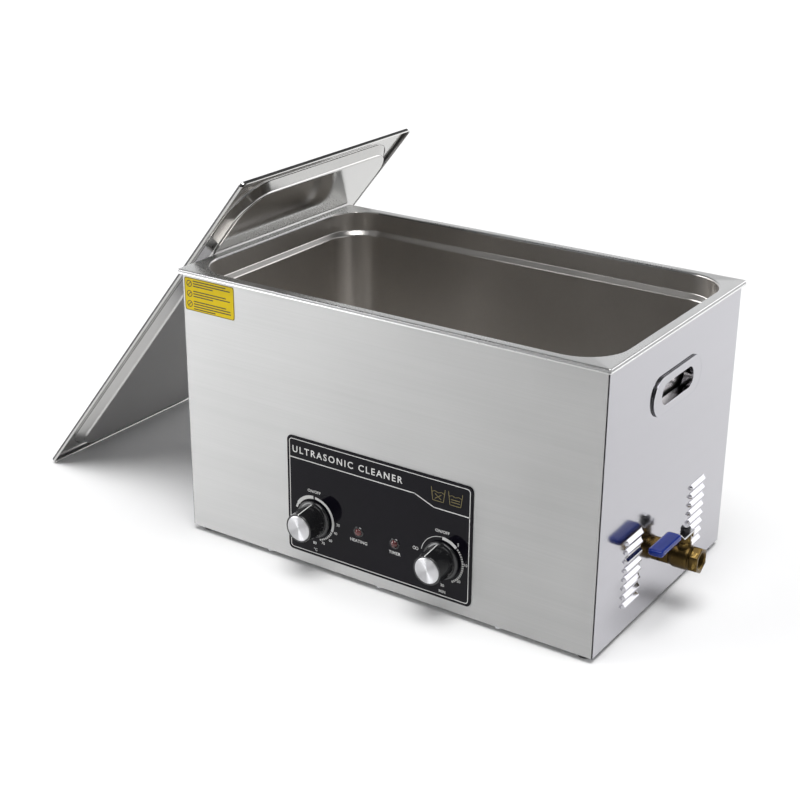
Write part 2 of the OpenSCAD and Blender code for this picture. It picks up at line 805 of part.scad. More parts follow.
// ---------- lid ----------
// Drawn flat, its top skin on z = 0 and its pressed centre below
module lid_panel() {
    w = rim_w - 2 * lid_edge;
    d = rim_d - 2 * lid_edge;
    color(steel) at_lid() {
        difference() {
            union() {
                translate([0, 0, -sheet]) slab(rim_w, rim_d, sheet, lid_r);
                translate([0, 0, -lid_press]) slab(w, d, lid_press, bath_r);
            }
            translate([0, 0, -lid_press + sheet])
                slab(w - 2 * sheet, d - 2 * sheet, lid_press, bath_r - sheet);
        }
        translate([0, 0, -lid_lip]) linear_extrude(lid_lip) difference() {
            rrect(rim_w, rim_d, lid_r);
            rrect(rim_w - 2 * sheet, rim_d - 2 * sheet, lid_r - sheet);
        }
    }
}
// Strap handle, bent from one flat bar and welded to the pressed centre by its two feet
module lid_handle() {
    z0 = -lid_press + sheet;
    top = 26;
    t = 2;
    profile = [[-72, z0], [-50, z0], [-42, top - t], [42, top - t], [50, z0], [72, z0],
        [72, z0 + t], [51.5, z0 + t], [43.5, top], [-43.5, top], [-51.5, z0 + t], [-72, z0 + t]];
    color("silver") at_lid() translate([0, 10, 0]) rotate([90, 0, 0]) linear_extrude(20) polygon(profile);
}

front_panel();
left_side_panel();
right_side_panel();
rear_panel();
base_plate();
rear_screws();
base_screws();
rubber_feet();
foot_screws();
tank();
rim_gasket();
front_label();
control_plate();
heating_lamp();
timer_lamp();
thermostat_body();
thermostat_shaft();
thermostat_bulb();
timer_body();
timer_shaft();
bushing_nuts();
heat_knob();
heat_knob_cap();
timer_knob();
timer_knob_cap();
transducer_front_masses();
piezo_rings();
transducer_electrodes();
transducer_back_masses();
transducer_bolts();
heater_pads();
circuit_board();
board_standoffs();
heat_sinks();
capacitors();
transformer_core();
transformer_winding();
fan_frame();
fan_rotor();
fan_guard();
mains_inlet();
fuse_drawer();
drain_fitting();
drain_locknut();
drain_hose();
hose_clamps();
bulkhead_nipple();
bulkhead_nut();
valve_body();
valve_end();
valve_ball();
valve_seats();
valve_stem();
packing_nut();
valve_lever();
lever_sleeve();
lever_nut();
lid_panel();
lid_handle();
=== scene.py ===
"""Looks of a bench-top ultrasonic cleaner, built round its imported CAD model.

Pieces are shaped in millimetres and become metres when they are finished. Materials read Object
coordinates, which are the frame's own metres, because every finished piece stands at the origin.
"""

import json
import logging
import math
from collections.abc import Callable
from dataclasses import dataclass
from enum import Enum

import bmesh
import bpy
from mathutils import Matrix, Vector

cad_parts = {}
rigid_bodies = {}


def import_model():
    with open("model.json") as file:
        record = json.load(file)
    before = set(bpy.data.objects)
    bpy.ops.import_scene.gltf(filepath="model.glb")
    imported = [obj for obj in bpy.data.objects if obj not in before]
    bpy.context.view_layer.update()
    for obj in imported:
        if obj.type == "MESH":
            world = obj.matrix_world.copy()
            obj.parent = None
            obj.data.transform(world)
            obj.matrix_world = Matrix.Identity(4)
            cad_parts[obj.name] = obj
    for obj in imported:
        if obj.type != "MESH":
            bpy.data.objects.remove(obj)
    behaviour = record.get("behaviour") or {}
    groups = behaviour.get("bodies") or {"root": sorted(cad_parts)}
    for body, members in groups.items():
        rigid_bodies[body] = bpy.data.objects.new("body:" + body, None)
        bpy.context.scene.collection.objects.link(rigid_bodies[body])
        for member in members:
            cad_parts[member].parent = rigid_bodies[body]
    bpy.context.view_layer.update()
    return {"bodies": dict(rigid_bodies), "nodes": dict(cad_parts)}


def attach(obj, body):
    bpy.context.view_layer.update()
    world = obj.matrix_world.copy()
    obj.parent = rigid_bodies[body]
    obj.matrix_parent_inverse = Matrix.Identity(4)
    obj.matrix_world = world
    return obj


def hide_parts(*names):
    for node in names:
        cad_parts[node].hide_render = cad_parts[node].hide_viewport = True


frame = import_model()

MM = 0.001
Triple = tuple[float, float, float]
Colour = Triple
Point = tuple[float, float]
Edges = list[bmesh.types.BMEdge]
EdgeTest = Callable[[bmesh.types.BMEdge], bool]
FaceTest = Callable[[bmesh.types.BMFace], bool]
Socket = bpy.types.NodeSocket
Feed = Socket | float | Colour

log = logging.getLogger("cleaner")


class Side(Enum):
    """The face of the cabinet that a flat part lies on, as the world axes of its local x, y and z."""

    FRONT = ((1, 0, 0), (0, 0, 1), (0, -1, 0))
    RIGHT = ((0, 1, 0), (0, 0, 1), (1, 0, 0))
    LEFT = ((0, -1, 0), (0, 0, 1), (-1, 0, 0))
    REAR = ((-1, 0, 0), (0, 0, 1), (0, 1, 0))
    TOP = ((1, 0, 0), (0, 1, 0), (0, 0, 1))

    def at(self, x: float, y: float, z: float) -> Matrix:
        """The placement of a part whose local origin is at that world point, in millimetres.

        Args:
            x: World X of the local origin.
            y: World Y of the local origin.
            z: World Z of the local origin.

        Returns:
            The local to world matrix.
        """
        turned = Matrix(self.value).transposed().to_4x4()
        return Matrix.Translation((x, y, z)) @ turned


class Graph:
    """A material's node tree, with short calls for the nodes that the finishes share."""

    def __init__(self, name: str) -> None:
        """Starts an empty Principled material.

        Args:
            name: The material's name.
        """
        self.material = bpy.data.materials.new(name)
        self.material.use_nodes = True
        self.nodes = self.material.node_tree.nodes
        self.links = self.material.node_tree.links
        self.shader = self.nodes["Principled BSDF"]
        self.coords = self.nodes.new("ShaderNodeTexCoord").outputs["Object"]

    def put(self, socket: Socket, value: Feed) -> None:
        """Links a socket, or sets its own value.

        Args:
            socket: The input to feed.
            value: Another node's output, or a plain number, colour or vector.
        """
        if isinstance(value, Socket):
            self.links.new(value, socket)
        elif isinstance(value, tuple) and socket.type == "RGBA":
            socket.default_value = (*value, 1.0)
        else:
            socket.default_value = value

    def shade(self, **values: Feed) -> None:
        """Feeds the shader's sockets, named with underscores for spaces."""
        for name, value in values.items():
            self.put(self.shader.inputs[name.replace("_", " ")], value)

    def mapped(self, scale: Triple) -> Socket:
        """Object coordinates, scaled.

        Args:
            scale: Scale on each axis, per metre.

        Returns:
            The mapped vector.
        """
        node = self.nodes.new("ShaderNodeMapping")
        node.vector_type = "TEXTURE"
        self.links.new(self.coords, node.inputs["Vector"])
        node.inputs["Scale"].default_value = [1 / s for s in scale]
        return node.outputs["Vector"]

    def noise(self, vector: Socket, scale: float, detail: float = 3.0,
              roughness: float = 0.5, distortion: float = 0.0) -> Socket:
        """A noise value.

        Args:
            vector: Where it is read.
            scale: Its scale.
            detail: Octaves.
            roughness: Weight of the finer octaves.
            distortion: How far it is warped.

        Returns:
            The noise's factor, near 0.5.
        """
        node = self.nodes.new("ShaderNodeTexNoise")
        self.links.new(vector, node.inputs["Vector"])
        node.inputs["Scale"].default_value = scale
        node.inputs["Detail"].default_value = detail
        node.inputs["Roughness"].default_value = roughness
        node.inputs["Distortion"].default_value = distortion
        return node.outputs["Fac"]

    def bands(self, vector: Socket, scale: float, axis: str, distortion: float) -> Socket:
        """Even bands across an axis.

        Args:
            vector: Where they are read.
            scale: Their scale.
            axis: X, Y or Z.
            distortion: How far they are warped.

        Returns:
            The bands' factor, from 0 to 1.
        """
        node = self.nodes.new("ShaderNodeTexWave")
        node.bands_direction = axis
        self.links.new(vector, node.inputs["Vector"])
        node.inputs["Scale"].default_value = scale
        node.inputs["Distortion"].default_value = distortion
        node.inputs["Detail"].default_value = 1.0
        return node.outputs["Fac"]

    def cells(self, vector: Socket, scale: float) -> Socket:
        """Distance to the nearest of a scatter of points.

        Args:
            vector: Where it is read.
            scale: Cells per unit.

        Returns:
            The distance, in cells.
        """
        node = self.nodes.new("ShaderNodeTexVoronoi")
        self.links.new(vector, node.inputs["Vector"])
        node.inputs["Scale"].default_value = scale
        return node.outputs["Distance"]

    def remap(self, value: Socket, low: float, high: float, start: float = 0.3,
              end: float = 0.7) -> Socket:
        """Spreads a value over a new range, clamped.

        Args:
            value: The value.
            low: Result at start.
            high: Result at end.
            start: Where the range starts.
            end: Where it ends.

        Returns:
            The new value.
        """
        node = self.nodes.new("ShaderNodeMapRange")
        self.links.new(value, node.inputs["Value"])
        for name, number in (("From Min", start), ("From Max", end), ("To Min", low), ("To Max", high)):
            node.inputs[name].default_value = number
        return node.outputs["Result"]

    def mix(self, factor: Feed, first: Feed, second: Feed) -> Socket:
        """Mixes two colours.

        Args:
            factor: A value or a socket.
            first: The colour at 0.
            second: The colour at 1.

        Returns:
            The mixed colour.
        """
        node = self.nodes.new("ShaderNodeMix")
        node.data_type = "RGBA"
        self.put(node.inputs[0], factor)
        self.put(node.inputs[6], first)
        self.put(node.inputs[7], second)
        return node.outputs[2]

    def spread(self, factor: Socket, colour: Colour, share: float) -> Socket:
        """A colour that runs from darker to lighter.

        Args:
            factor: Where it is dark (0) and light (1).
            colour: The colour between them.
            share: How far it goes each way.

        Returns:
            The colour's socket.
        """
        return self.mix(self.remap(factor, 0.0, 1.0), scaled(colour, 1 - share), scaled(colour, 1 + share))

    def gloss(self, factor: Socket, finish: "Finish") -> Socket:
        """A finish's roughness, uneven by its gloss spread."""
        return self.remap(factor, finish.roughness - finish.gloss_spread,
                          finish.roughness + finish.gloss_spread)

    def sum(self, first: Feed, second: Feed, mode: str = "ADD") -> Socket:
        """Adds, multiplies or otherwise joins two values.

        Args:
            first: A value or a socket.
            second: A value or a socket.
            mode: The operation's name.

        Returns:
            The result.
        """
        node = self.nodes.new("ShaderNodeMath")
        node.operation = mode
        self.put(node.inputs[0], first)
        self.put(node.inputs[1], second)
        return node.outputs[0]

    def bump(self, height: Socket, strength: float, distance: float) -> None:
        """Gives the shader a relief from a height.

        Args:
            height: The height, from 0 to 1.
            strength: Share of the relief that shows.
            distance: Full height, in metres.
        """
        node = self.nodes.new("ShaderNodeBump")
        node.inputs["Strength"].default_value = strength
        node.inputs["Distance"].default_value = distance
        self.links.new(height, node.inputs["Height"])
        self.links.new(node.outputs["Normal"], self.shader.inputs["Normal"])

    def follow_uv(self) -> None:
        """Runs the shader's stretched highlight along the piece's own UV map."""
        node = self.nodes.new("ShaderNodeTangent")
        node.direction_type = "UV_MAP"
        node.uv_map = "UVMap"
        self.links.new(node.outputs["Tangent"], self.shader.inputs["Tangent"])


def scaled(colour: Colour, share: float) -> Colour:
    """The colour made lighter or darker by a share."""
    return tuple(min(1.0, c * share) for c in colour)


@dataclass(frozen=True)
class Finish:
    """A surface whose colour wanders softly, with uneven gloss and a fine grain."""

    name: str
    colour: Colour
    metallic: float = 0.0
    roughness: float = 0.4
    variation: float = 0.08
    patch: float = 30.0
    grain: float = 1200.0
    relief: float = 0.15
    gloss_spread: float = 0.06
    coat: float = 0.0
    specular: float = 0.5

    def dress(self, graph: Graph) -> None:
        """Builds the nodes of this finish.

        Args:
            graph: The new material's node tree.
        """
        broad = graph.noise(graph.coords, self.patch, 4.0, 0.6)
        fine = graph.noise(graph.coords, self.grain, 2.0, 0.5)
        tint = graph.spread(broad, self.colour, self.variation)
        speckled = graph.mix(graph.remap(fine, 0.0, 0.35), tint, scaled(self.colour, 1 - 2 * self.variation))
        graph.shade(Base_Color=speckled, Metallic=self.metallic, Roughness=graph.gloss(broad, self),
                    Coat_Weight=self.coat, Coat_Roughness=0.08, Specular_IOR_Level=self.specular)
        graph.bump(fine, self.relief, 0.0001)

    def material(self) -> bpy.types.Material:
        """The finish's material, made once.

        Returns:
            The material.
        """
        name = f"{self.name}_look"
        known = bpy.data.materials.get(name)
        if known is not None:
            return known
        graph = Graph(name)
        self.dress(graph)
        return graph.material


@dataclass(frozen=True)
class Brushed(Finish):
    """Sheet metal with fine lines along one direction."""

    metallic: float = 1.0
    along: Triple = (3.0, 1.0, 1.0)
    lines: float = 1400.0
    streaks: float = 90.0
    streak_depth: float = 0.05
    stretch: float = 0.0
    ripple: float = 0.0

    def dress(self, graph: Graph) -> None:
        """Builds hairlines, broader streaks and a slow ripple.

        Args:
            graph: The new material's node tree.
        """
        fine_at = graph.mapped(tuple(self.lines if a == 1.0 else a * 2 for a in self.along))
        broad_at = graph.mapped(tuple(self.streaks if a == 1.0 else a for a in self.along))
        fine = graph.noise(fine_at, 1.0, 2.0, 0.6)
        broad = graph.noise(broad_at, 1.0, 3.0, 0.55)
        slow = graph.noise(graph.coords, 9.0, 2.0, 0.5)
        tint = graph.spread(broad, self.colour, self.streak_depth)
        lined = graph.mix(graph.remap(fine, 0.0, 0.5), tint, scaled(self.colour, 1 - 2 * self.streak_depth))
        gloss = graph.remap(graph.sum(fine, slow, "ADD"), self.roughness - self.gloss_spread,
                            self.roughness + self.gloss_spread, 0.7, 1.3)
        graph.shade(Base_Color=lined, Metallic=1.0, Roughness=gloss, Anisotropic=self.stretch,
                    Anisotropic_Rotation=0.25)
        height = graph.sum(graph.sum(fine, self.relief, "MULTIPLY"),
                           graph.sum(slow, self.ripple, "MULTIPLY"))
        graph.bump(height, 1.0, 0.0001)
        if self.stretch > 0:
            graph.follow_uv()


@dataclass(frozen=True)
class Spun(Finish):
    """Metal turned on a lathe, with fine rings and a wedge-shaped highlight."""

    metallic: float = 1.0
    stretch: float = 0.85

    def dress(self, graph: Graph) -> None:
        """Builds rings from the piece's polar UV map.

        Args:
            graph: The new material's node tree.
        """
        uv = graph.nodes.new("ShaderNodeUVMap")
        uv.uv_map = "UVMap"
        split = graph.nodes.new("ShaderNodeSeparateXYZ")
        graph.links.new(uv.outputs["UV"], split.inputs["Vector"])
        join = graph.nodes.new("ShaderNodeCombineXYZ")
        graph.links.new(split.outputs["Y"], join.inputs["Y"])
        rings = graph.noise(join.outputs["Vector"], self.grain, 2.0, 0.7)
        graph.shade(Base_Color=graph.spread(rings, self.colour, self.variation), Metallic=1.0,
                    Anisotropic=self.stretch, Anisotropic_Rotation=0.25, Roughness=graph.gloss(rings, self))
        graph.bump(rings, self.relief, 0.00005)
        graph.follow_uv()


@dataclass(frozen=True)
class Cast(Finish):
    """Brass with a brown skin left from the casting, brighter where it is worn or machined."""

    metallic: float = 1.0
    skin: Colour = (0.10, 0.065, 0.022)
    bare: float = 0.5

    def dress(self, graph: Graph) -> None:
        """Builds a mottled skin over the metal.

        Args:
            graph: The new material's node tree.
        """
        blotch = graph.noise(graph.coords, 160.0, 5.0, 0.62, 0.4)
        pits = graph.noise(graph.coords, 1500.0, 2.0, 0.5)
        worn = graph.remap(blotch, 0.0, 1.0, 0.72 - 0.4 * self.bare, 0.95 - 0.4 * self.bare)
        colour = graph.mix(worn, self.skin, self.colour)
        dark = graph.mix(graph.remap(pits, 0.0, 0.5), colour, scaled(self.skin, 0.6))
        graph.shade(Base_Color=dark, Metallic=self.metallic,
                    Roughness=graph.remap(blotch, self.roughness + self.gloss_spread,
                                          self.roughness - self.gloss_spread))
        graph.bump(graph.sum(pits, blotch), self.relief, 0.0002)


@dataclass(frozen=True)
class Banded(Finish):
    """A surface with even bands, such as wound wire, plate edges or rolled rubber."""

    axis: str = "Z"
    pitch: float = 2.0
    band_colour: Colour = (0.1, 0.1, 0.1)

    def dress(self, graph: Graph) -> None:
        """Builds bands of the given pitch, in millimetres.

        Args:
            graph: The new material's node tree.
        """
        bands = graph.bands(graph.coords, math.pi / (self.pitch * MM) / 10, self.axis, 0.4)
        broad = graph.noise(graph.coords, self.patch, 3.0)
        tint = graph.mix(graph.remap(bands, 0.0, 1.0, 0.2, 0.8), self.band_colour, self.colour)
        worn = graph.mix(graph.remap(broad, 0.0, 0.4), tint, scaled(self.colour, 1 - 3 * self.variation))
        graph.shade(Base_Color=worn, Metallic=self.metallic, Coat_Weight=self.coat,
                    Roughness=graph.gloss(broad, self))
        graph.bump(bands, self.relief, 0.0002)


@dataclass(frozen=True)
class Board(Finish):
    """Green circuit board with paler tracks under the mask."""

    def dress(self, graph: Graph) -> None:
        """Builds tracks from a brick pattern and pads from scattered cells.

        Args:
            graph: The new material's node tree.
        """
        tracks = graph.nodes.new("ShaderNodeTexBrick")
        graph.links.new(graph.coords, tracks.inputs["Vector"])
        tracks.inputs["Scale"].default_value = 70.0
        tracks.inputs["Mortar Size"].default_value = 0.03
        pads = graph.cells(graph.coords, 170.0)
        green = graph.mix(tracks.outputs["Fac"], self.colour, scaled(self.colour, 2.0))
        tinned = graph.mix(graph.remap(pads, 1.0, 0.0, 0.12, 0.16), green, (0.6, 0.6, 0.58))
        broad = graph.noise(graph.coords, self.patch, 3.0)
        graph.shade(Base_Color=tinned, Coat_Weight=0.5,
                    Roughness=graph.remap(broad, self.roughness - 0.05, self.roughness + 0.05))
        graph.bump(tracks.outputs["Fac"], 0.3, 0.0001)


@dataclass(frozen=True)
class Lens(Finish):
    """Tinted clear plastic."""

    def dress(self, graph: Graph) -> None:
        """Builds a clear body with faint moulding swirls.

        Args:
            graph: The new material's node tree.
        """
        swirl = graph.noise(graph.coords, self.patch, 3.0, 0.5, 1.0)
        tint = graph.mix(graph.remap(swirl, 0.0, 1.0), scaled(self.colour, 0.8), self.colour)
        graph.shade(Base_Color=tint, Transmission_Weight=0.75, IOR=1.49,
                    Roughness=graph.remap(swirl, 0.02, 0.07))
        graph.bump(swirl, 0.1, 0.0001)


class Shape:
    """One mesh while it is being shaped, in millimetres."""

    def __init__(self) -> None:
        """Starts an empty mesh."""
        self.bm = bmesh.new()

    def ring(self, width: float, depth: float, radius: float, height: float, steps: int = 8,
             at: Point = (0.0, 0.0)) -> Edges:
        """Adds one closed loop: a rectangle with rounded corners, square to the Z axis.

        Args:
            width: Size along X.
            depth: Size along Y.
            radius: Corner radius.
            height: Its Z.
            steps: Segments in each corner.
            at: Its middle.

        Returns:
            The loop's edges.
        """
        old = set(self.bm.edges)
        verts = bmesh.ops.create_grid(self.bm, x_segments=1, y_segments=1, size=0.5)["verts"]
        bmesh.ops.scale(self.bm, vec=(width, depth, 1), verts=verts)
        bmesh.ops.translate(self.bm, vec=(*at, height), verts=verts)
        bmesh.ops.bevel(self.bm, geom=verts, offset=min(radius, 0.4995 * depth), offset_type="OFFSET",
                        segments=steps, profile=0.5, affect="VERTICES", material=-1)
        edges = [e for e in self.bm.edges if e not in old]
        faces = list({f for e in edges for f in e.link_faces})
        bmesh.ops.delete(self.bm, geom=faces, context="FACES_ONLY")
        return edges

    def circle(self, radius: float, height: float = 0.0, segments: int = 48,
               at: Point = (0.0, 0.0)) -> Edges:
        """Adds a circular loop.

        Args:
            radius: Its radius.
            height: Its Z.
            segments: Number of edges.
            at: Its middle.

        Returns:
            The loop's edges.
        """
        verts = bmesh.ops.create_circle(self.bm, cap_ends=False, radius=radius, segments=segments)["verts"]
        bmesh.ops.translate(self.bm, vec=(*at, height), verts=verts)
        return list({e for v in verts for e in v.link_edges})

    def bridge(self, *loops: Edges) -> None:
        """Skins one loop to the next, in order."""
        for first, second in zip(loops, loops[1:]):
            bmesh.ops.bridge_loops(self.bm, edges=first + second)

    def cap(self, loop: Edges) -> None:
        """Closes a loop with one flat face."""
        bmesh.ops.contextual_create(self.bm, geom=loop)

    def sheet(self, outline: Edges, *holes: Edges) -> None:
        """Fills a flat outline, leaving its holes open."""
        edges = outline + [e for hole in holes for e in hole]
        bmesh.ops.triangle_fill(self.bm, use_beauty=True, use_dissolve=False, edges=edges, normal=(0, 0, 1))

    def spun(self, profile: list[Point], segments: int = 64) -> None:
        """Turns a profile of (radius, z) points round the Z axis.

        Args:
            profile: The points, in order.
            segments: Steps in the full turn.
        """
        verts = [self.bm.verts.new((r, 0.0, z)) for r, z in profile]
        edges = [self.bm.edges.new(pair) for pair in zip(verts, verts[1:])]
        bmesh.ops.spin(self.bm, geom=verts + edges, axis=(0, 0, 1), cent=(0, 0, 0), angle=math.tau,
                       steps=segments, use_merge=True)
        bmesh.ops.remove_doubles(self.bm, verts=self.bm.verts, dist=0.0005)

    def prism(self, outline: list[Point], low: float, high: float) -> None:
        """Adds a straight prism on a flat outline.

        Args:
            outline: Its corners, in order.
            low: Z of its foot.
            high: Z of its top.
        """
        verts = [self.bm.verts.new((x, y, low)) for x, y in outline]
        face = self.bm.faces.new(verts)
        made = bmesh.ops.extrude_face_region(self.bm, geom=[face])["geom"]
        top = [v for v in made if isinstance(v, bmesh.types.BMVert)]
        bmesh.ops.translate(self.bm, vec=(0, 0, high - low), verts=top)

    def nut(self, across: float, bore: float, low: float, high: float, turn: float = 0.0) -> None:
        """Adds a hexagon with a round bore and its edges broken.

        Args:
            across: Size across its flats.
            bore: Radius of the bore.
            low: Z of its foot.
            high: Z of its top.
            turn: Rotation about Z, in degrees.
        """
        other = Shape()
        outer = other.circle(across / 2 / math.cos(math.pi / 6), low, 6)
        inner = other.circle(bore, low, 36)
        other.sheet(outer, inner)
        made = bmesh.ops.extrude_face_region(other.bm, geom=list(other.bm.faces))["geom"]
        top = [v for v in made if isinstance(v, bmesh.types.BMVert)]
        bmesh.ops.translate(other.bm, vec=(0, 0, high - low), verts=top)
        other.soften(0.05 * across, 2, 25.0, lambda e: min(v.co.xy.length for v in e.verts) > bore * 1.02)
        self.add(other, Matrix.Rotation(math.radians(turn), 4, "Z"))

    def soften(self, offset: float, segments: int = 2, angle: float = 30.0,
               only: EdgeTest | None = None) -> None:
        """Rounds the edges that turn by more than an angle.

        Args:
            offset: Width of the rounding.
            segments: Its segments.
            angle: The least turn, in degrees.
            only: A test that an edge has to pass, or None.
        """
        bmesh.ops.recalc_face_normals(self.bm, faces=self.bm.faces)
        least = math.radians(angle)
        edges = [e for e in self.bm.edges if len(e.link_faces) == 2 and e.calc_face_angle(0.0) > least
                 and (only is None or only(e))]
        bmesh.ops.bevel(self.bm, geom=edges, offset=offset, offset_type="OFFSET", segments=segments,
                        profile=0.5, affect="EDGES", clamp_overlap=True, material=-1)

    def add(self, other: "Shape", place: Matrix = Matrix.Identity(4)) -> None:
        """Takes in another shape.

        Args:
            other: The shape, used up by this.
            place: Where it goes.
        """
        bmesh.ops.transform(other.bm, matrix=place, verts=other.bm.verts)
        mesh = bpy.data.meshes.new("part")
        other.bm.to_mesh(mesh)
        other.bm.free()
        self.bm.from_mesh(mesh)
        bpy.data.meshes.remove(mesh)

    def uv_layer(self) -> bmesh.types.BMLayerItem:
        """The layer that the stretched highlights follow."""
        layers = self.bm.loops.layers.uv
        return layers.get("UVMap") or layers.new("UVMap")

    def map_flat(self) -> None:
        """Gives the mesh a UV map that lies along its local X and Y."""
        layer = self.uv_layer()
        for face in self.bm.faces:
            for loop in face.loops:
                loop[layer].uv = (loop.vert.co.x * MM, loop.vert.co.y * MM)

    def map_polar(self) -> None:
        """Gives the mesh a UV map of angle and radius round its local Z axis."""
        layer = self.uv_layer()
        for face in self.bm.faces:
            middle = face.calc_center_median()
            base = math.atan2(middle.y, middle.x)
            for loop in face.loops:
                co = loop.vert.co
                swing = math.atan2(co.y, co.x) - base if co.xy.length > 0.01 else 0.0
                swing = (swing + math.pi) % math.tau - math.pi
                loop[layer].uv = ((base + swing) / math.tau, co.xy.length * MM)

    def done(self, name: str, finish: Finish, body: str, place: Matrix = Matrix.Identity(4),
             replaces: tuple[str, ...] = (), slot: str = "", wall: float = 0.0,
             facing: Triple | None = None, sharp: float = 32.0,
             accents: tuple[tuple[Finish, FaceTest], ...] = ()) -> bpy.types.Object:
        """Turns the shape into a finished piece of the object.

        Args:
            name: The piece's name.
            finish: What it is made of.
            body: The CAD body that it rides on.
            place: Its placement, in millimetres.
            replaces: CAD nodes that it stands for.
            slot: The record's material slot; not used.
            wall: Thickness to give an open skin, inwards.
            facing: For an open skin, the direction that its largest face looks.
            sharp: Edges that turn by more than this angle, in degrees, stay crisp.
            accents: Further finishes, each with the test of the faces that take it.

        Returns:
            The new object.
        """
        bm = self.bm
        bmesh.ops.remove_doubles(bm, verts=bm.verts, dist=0.001)
        bmesh.ops.recalc_face_normals(bm, faces=bm.faces)
        if facing is not None:
            largest = max(bm.faces, key=lambda f: f.calc_area())
            if largest.normal.dot(Vector(facing)) < 0:
                bmesh.ops.reverse_faces(bm, faces=bm.faces)
        for face in bm.faces:
            for index, (_, test) in enumerate(accents):
                if test(face):
                    face.material_index = index + 1
        bmesh.ops.transform(bm, matrix=Matrix.Scale(MM, 4) @ place, verts=bm.verts)
        bm.normal_update()
        least = math.radians(sharp)
        for face in bm.faces:
            face.smooth = True
        for edge in bm.edges:
            edge.smooth = len(edge.link_faces) != 2 or edge.calc_face_angle(0.0) < least
        mesh = bpy.data.meshes.new(name)
        bm.to_mesh(mesh)
        bm.free()
        piece = bpy.data.objects.new(name, mesh)
        bpy.context.scene.collection.objects.link(piece)
        mesh.materials.append(finish.material())
        for second, _ in accents:
            mesh.materials.append(second.material())
        if wall > 0:
            skin = piece.modifiers.new("wall", "SOLIDIFY")
            skin.thickness = wall * MM
            skin.offset = -1.0
            skin.use_even_offset = True
        even = piece.modifiers.new("even_normals", "WEIGHTED_NORMAL")
        even.keep_sharp = True
        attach(piece, body)
        if replaces:
            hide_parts(*replaces)
        log.info("%s: %d faces on %s", name, len(mesh.polygons), body)
        return piece


def bend(radius: float, steps: int = 4) -> list[Point]:
    """The points of a quarter bend, as (distance still to go sideways, distance gone downwards)."""
    angles = [math.pi / 2 * i / steps for i in range(steps + 1)]
    return [(radius * (1 - math.sin(a)), radius * (1 - math.cos(a))) for a in angles]


def lettering(text: str, height: float, at: Point, centred: bool = True, heavy: float = 0.0,
              spread: float = 1.0) -> Shape:
    """Raised lettering on a flat part, as thin as ink.

    Args:
        text: What it says.
        height: Height of its capitals.
        at: Where it stands, at its foot.
        centred: Centred on that point, or starting there.
        heavy: How far its strokes are thickened.
        spread: Spacing of its letters.

    Returns:
        The lettering as a shape.
    """
    capital = 0.729  # height of the font's capitals, as a share of its size
    ink = 0.03
    curve = bpy.data.curves.new("lettering", "FONT")
    curve.body = text
    curve.size = height / capital
    curve.offset = heavy
    curve.extrude = ink
    curve.resolution_u = 3
    curve.space_character = spread
    curve.align_x = "CENTER" if centred else "LEFT"
    holder = bpy.data.objects.new("lettering", curve)
    mesh = bpy.data.meshes.new_from_object(holder)
    shape = Shape()
    shape.bm.from_mesh(mesh)
    bmesh.ops.translate(shape.bm, vec=(*at, ink), verts=shape.bm.verts)
    bpy.data.objects.remove(holder)
    bpy.data.curves.remove(curve)
    bpy.data.meshes.remove(mesh)
    return shape


def stroke(points: list[Point], width: float) -> Shape:
    """A printed line of even width through some points.

    Args:
        points: The points, in order.
        width: The line's width.

    Returns:
        The line as a shape.
    """
    shape = Shape()
    for (x0, y0), (x1, y1) in zip(points, points[1:]):
        along = Vector((x1 - x0, y1 - y0)).normalized() * width / 2
        side = Vector((-along.y, along.x))
        a, b = Vector((x0, y0)) - along, Vector((x1, y1)) + along
        shape.prism([tuple(a - side), tuple(b - side), tuple(b + side), tuple(a + side)], 0.0, 0.05)
    return shape


def arc_band(middle: Point, inner: float, outer: float, start: float, end: float) -> Shape:
    """A printed band on a circle, from one clock angle to another.

    Args:
        middle: The circle's middle.
        inner: Inner radius.
        outer: Outer radius.
        start: First angle, in degrees clockwise from the top.
        end: Last angle.

    Returns:
        The band as a shape.
    """
    shape = Shape()
    verts = [shape.bm.verts.new((0.0, r, 0.05)) for r in (inner, outer)]
    edge = shape.bm.edges.new(verts)
    steps = max(2, int(abs(end - start) / 4))
    bmesh.ops.rotate(shape.bm, verts=verts, cent=(0, 0, 0),
                     matrix=Matrix.Rotation(-math.radians(start), 3, "Z"))
    bmesh.ops.spin(shape.bm, geom=[*verts, edge], axis=(0, 0, 1), cent=(0, 0, 0),
                   angle=-math.radians(end - start), steps=steps, use_merge=False)
    bmesh.ops.translate(shape.bm, vec=(*middle, 0.0), verts=shape.bm.verts)
    bmesh.ops.recalc_face_normals(shape.bm, faces=shape.bm.faces)
    if next(iter(shape.bm.faces)).normal.z < 0:
        bmesh.ops.reverse_faces(shape.bm, faces=shape.bm.faces)
    return shape


# ---------- finishes ----------
STEEL: Colour = (0.70, 0.70, 0.705)
FRONT_STEEL = Brushed("front_steel", (0.49, 0.49, 0.486), roughness=0.43, along=(3.0, 1.0, 1.0),
                      stretch=0.85, relief=0.08, streak_depth=0.025)
SIDE_STEEL = Brushed("side_steel", (0.505, 0.50, 0.53), roughness=0.11, gloss_spread=0.03,
                     along=(1.0, 3.0, 1.0), relief=0.03, streak_depth=0.012, ripple=1.2)
REAR_STEEL = Brushed("rear_steel", STEEL, roughness=0.30, along=(3.0, 1.0, 1.0), stretch=0.6,
                     relief=0.10, streak_depth=0.03)
BATH_STEEL = Finish("bath_steel", (0.585, 0.565, 0.542), metallic=1.0, roughness=0.30, variation=0.03,
                    patch=7.0, grain=260.0, relief=0.004, gloss_spread=0.03)
RIM_STEEL = Brushed("rim_steel", (0.66, 0.66, 0.655), roughness=0.30, along=(1.0, 1.0, 1.0), lines=500.0,
                    stretch=0.6, relief=0.02, streak_depth=0.015)
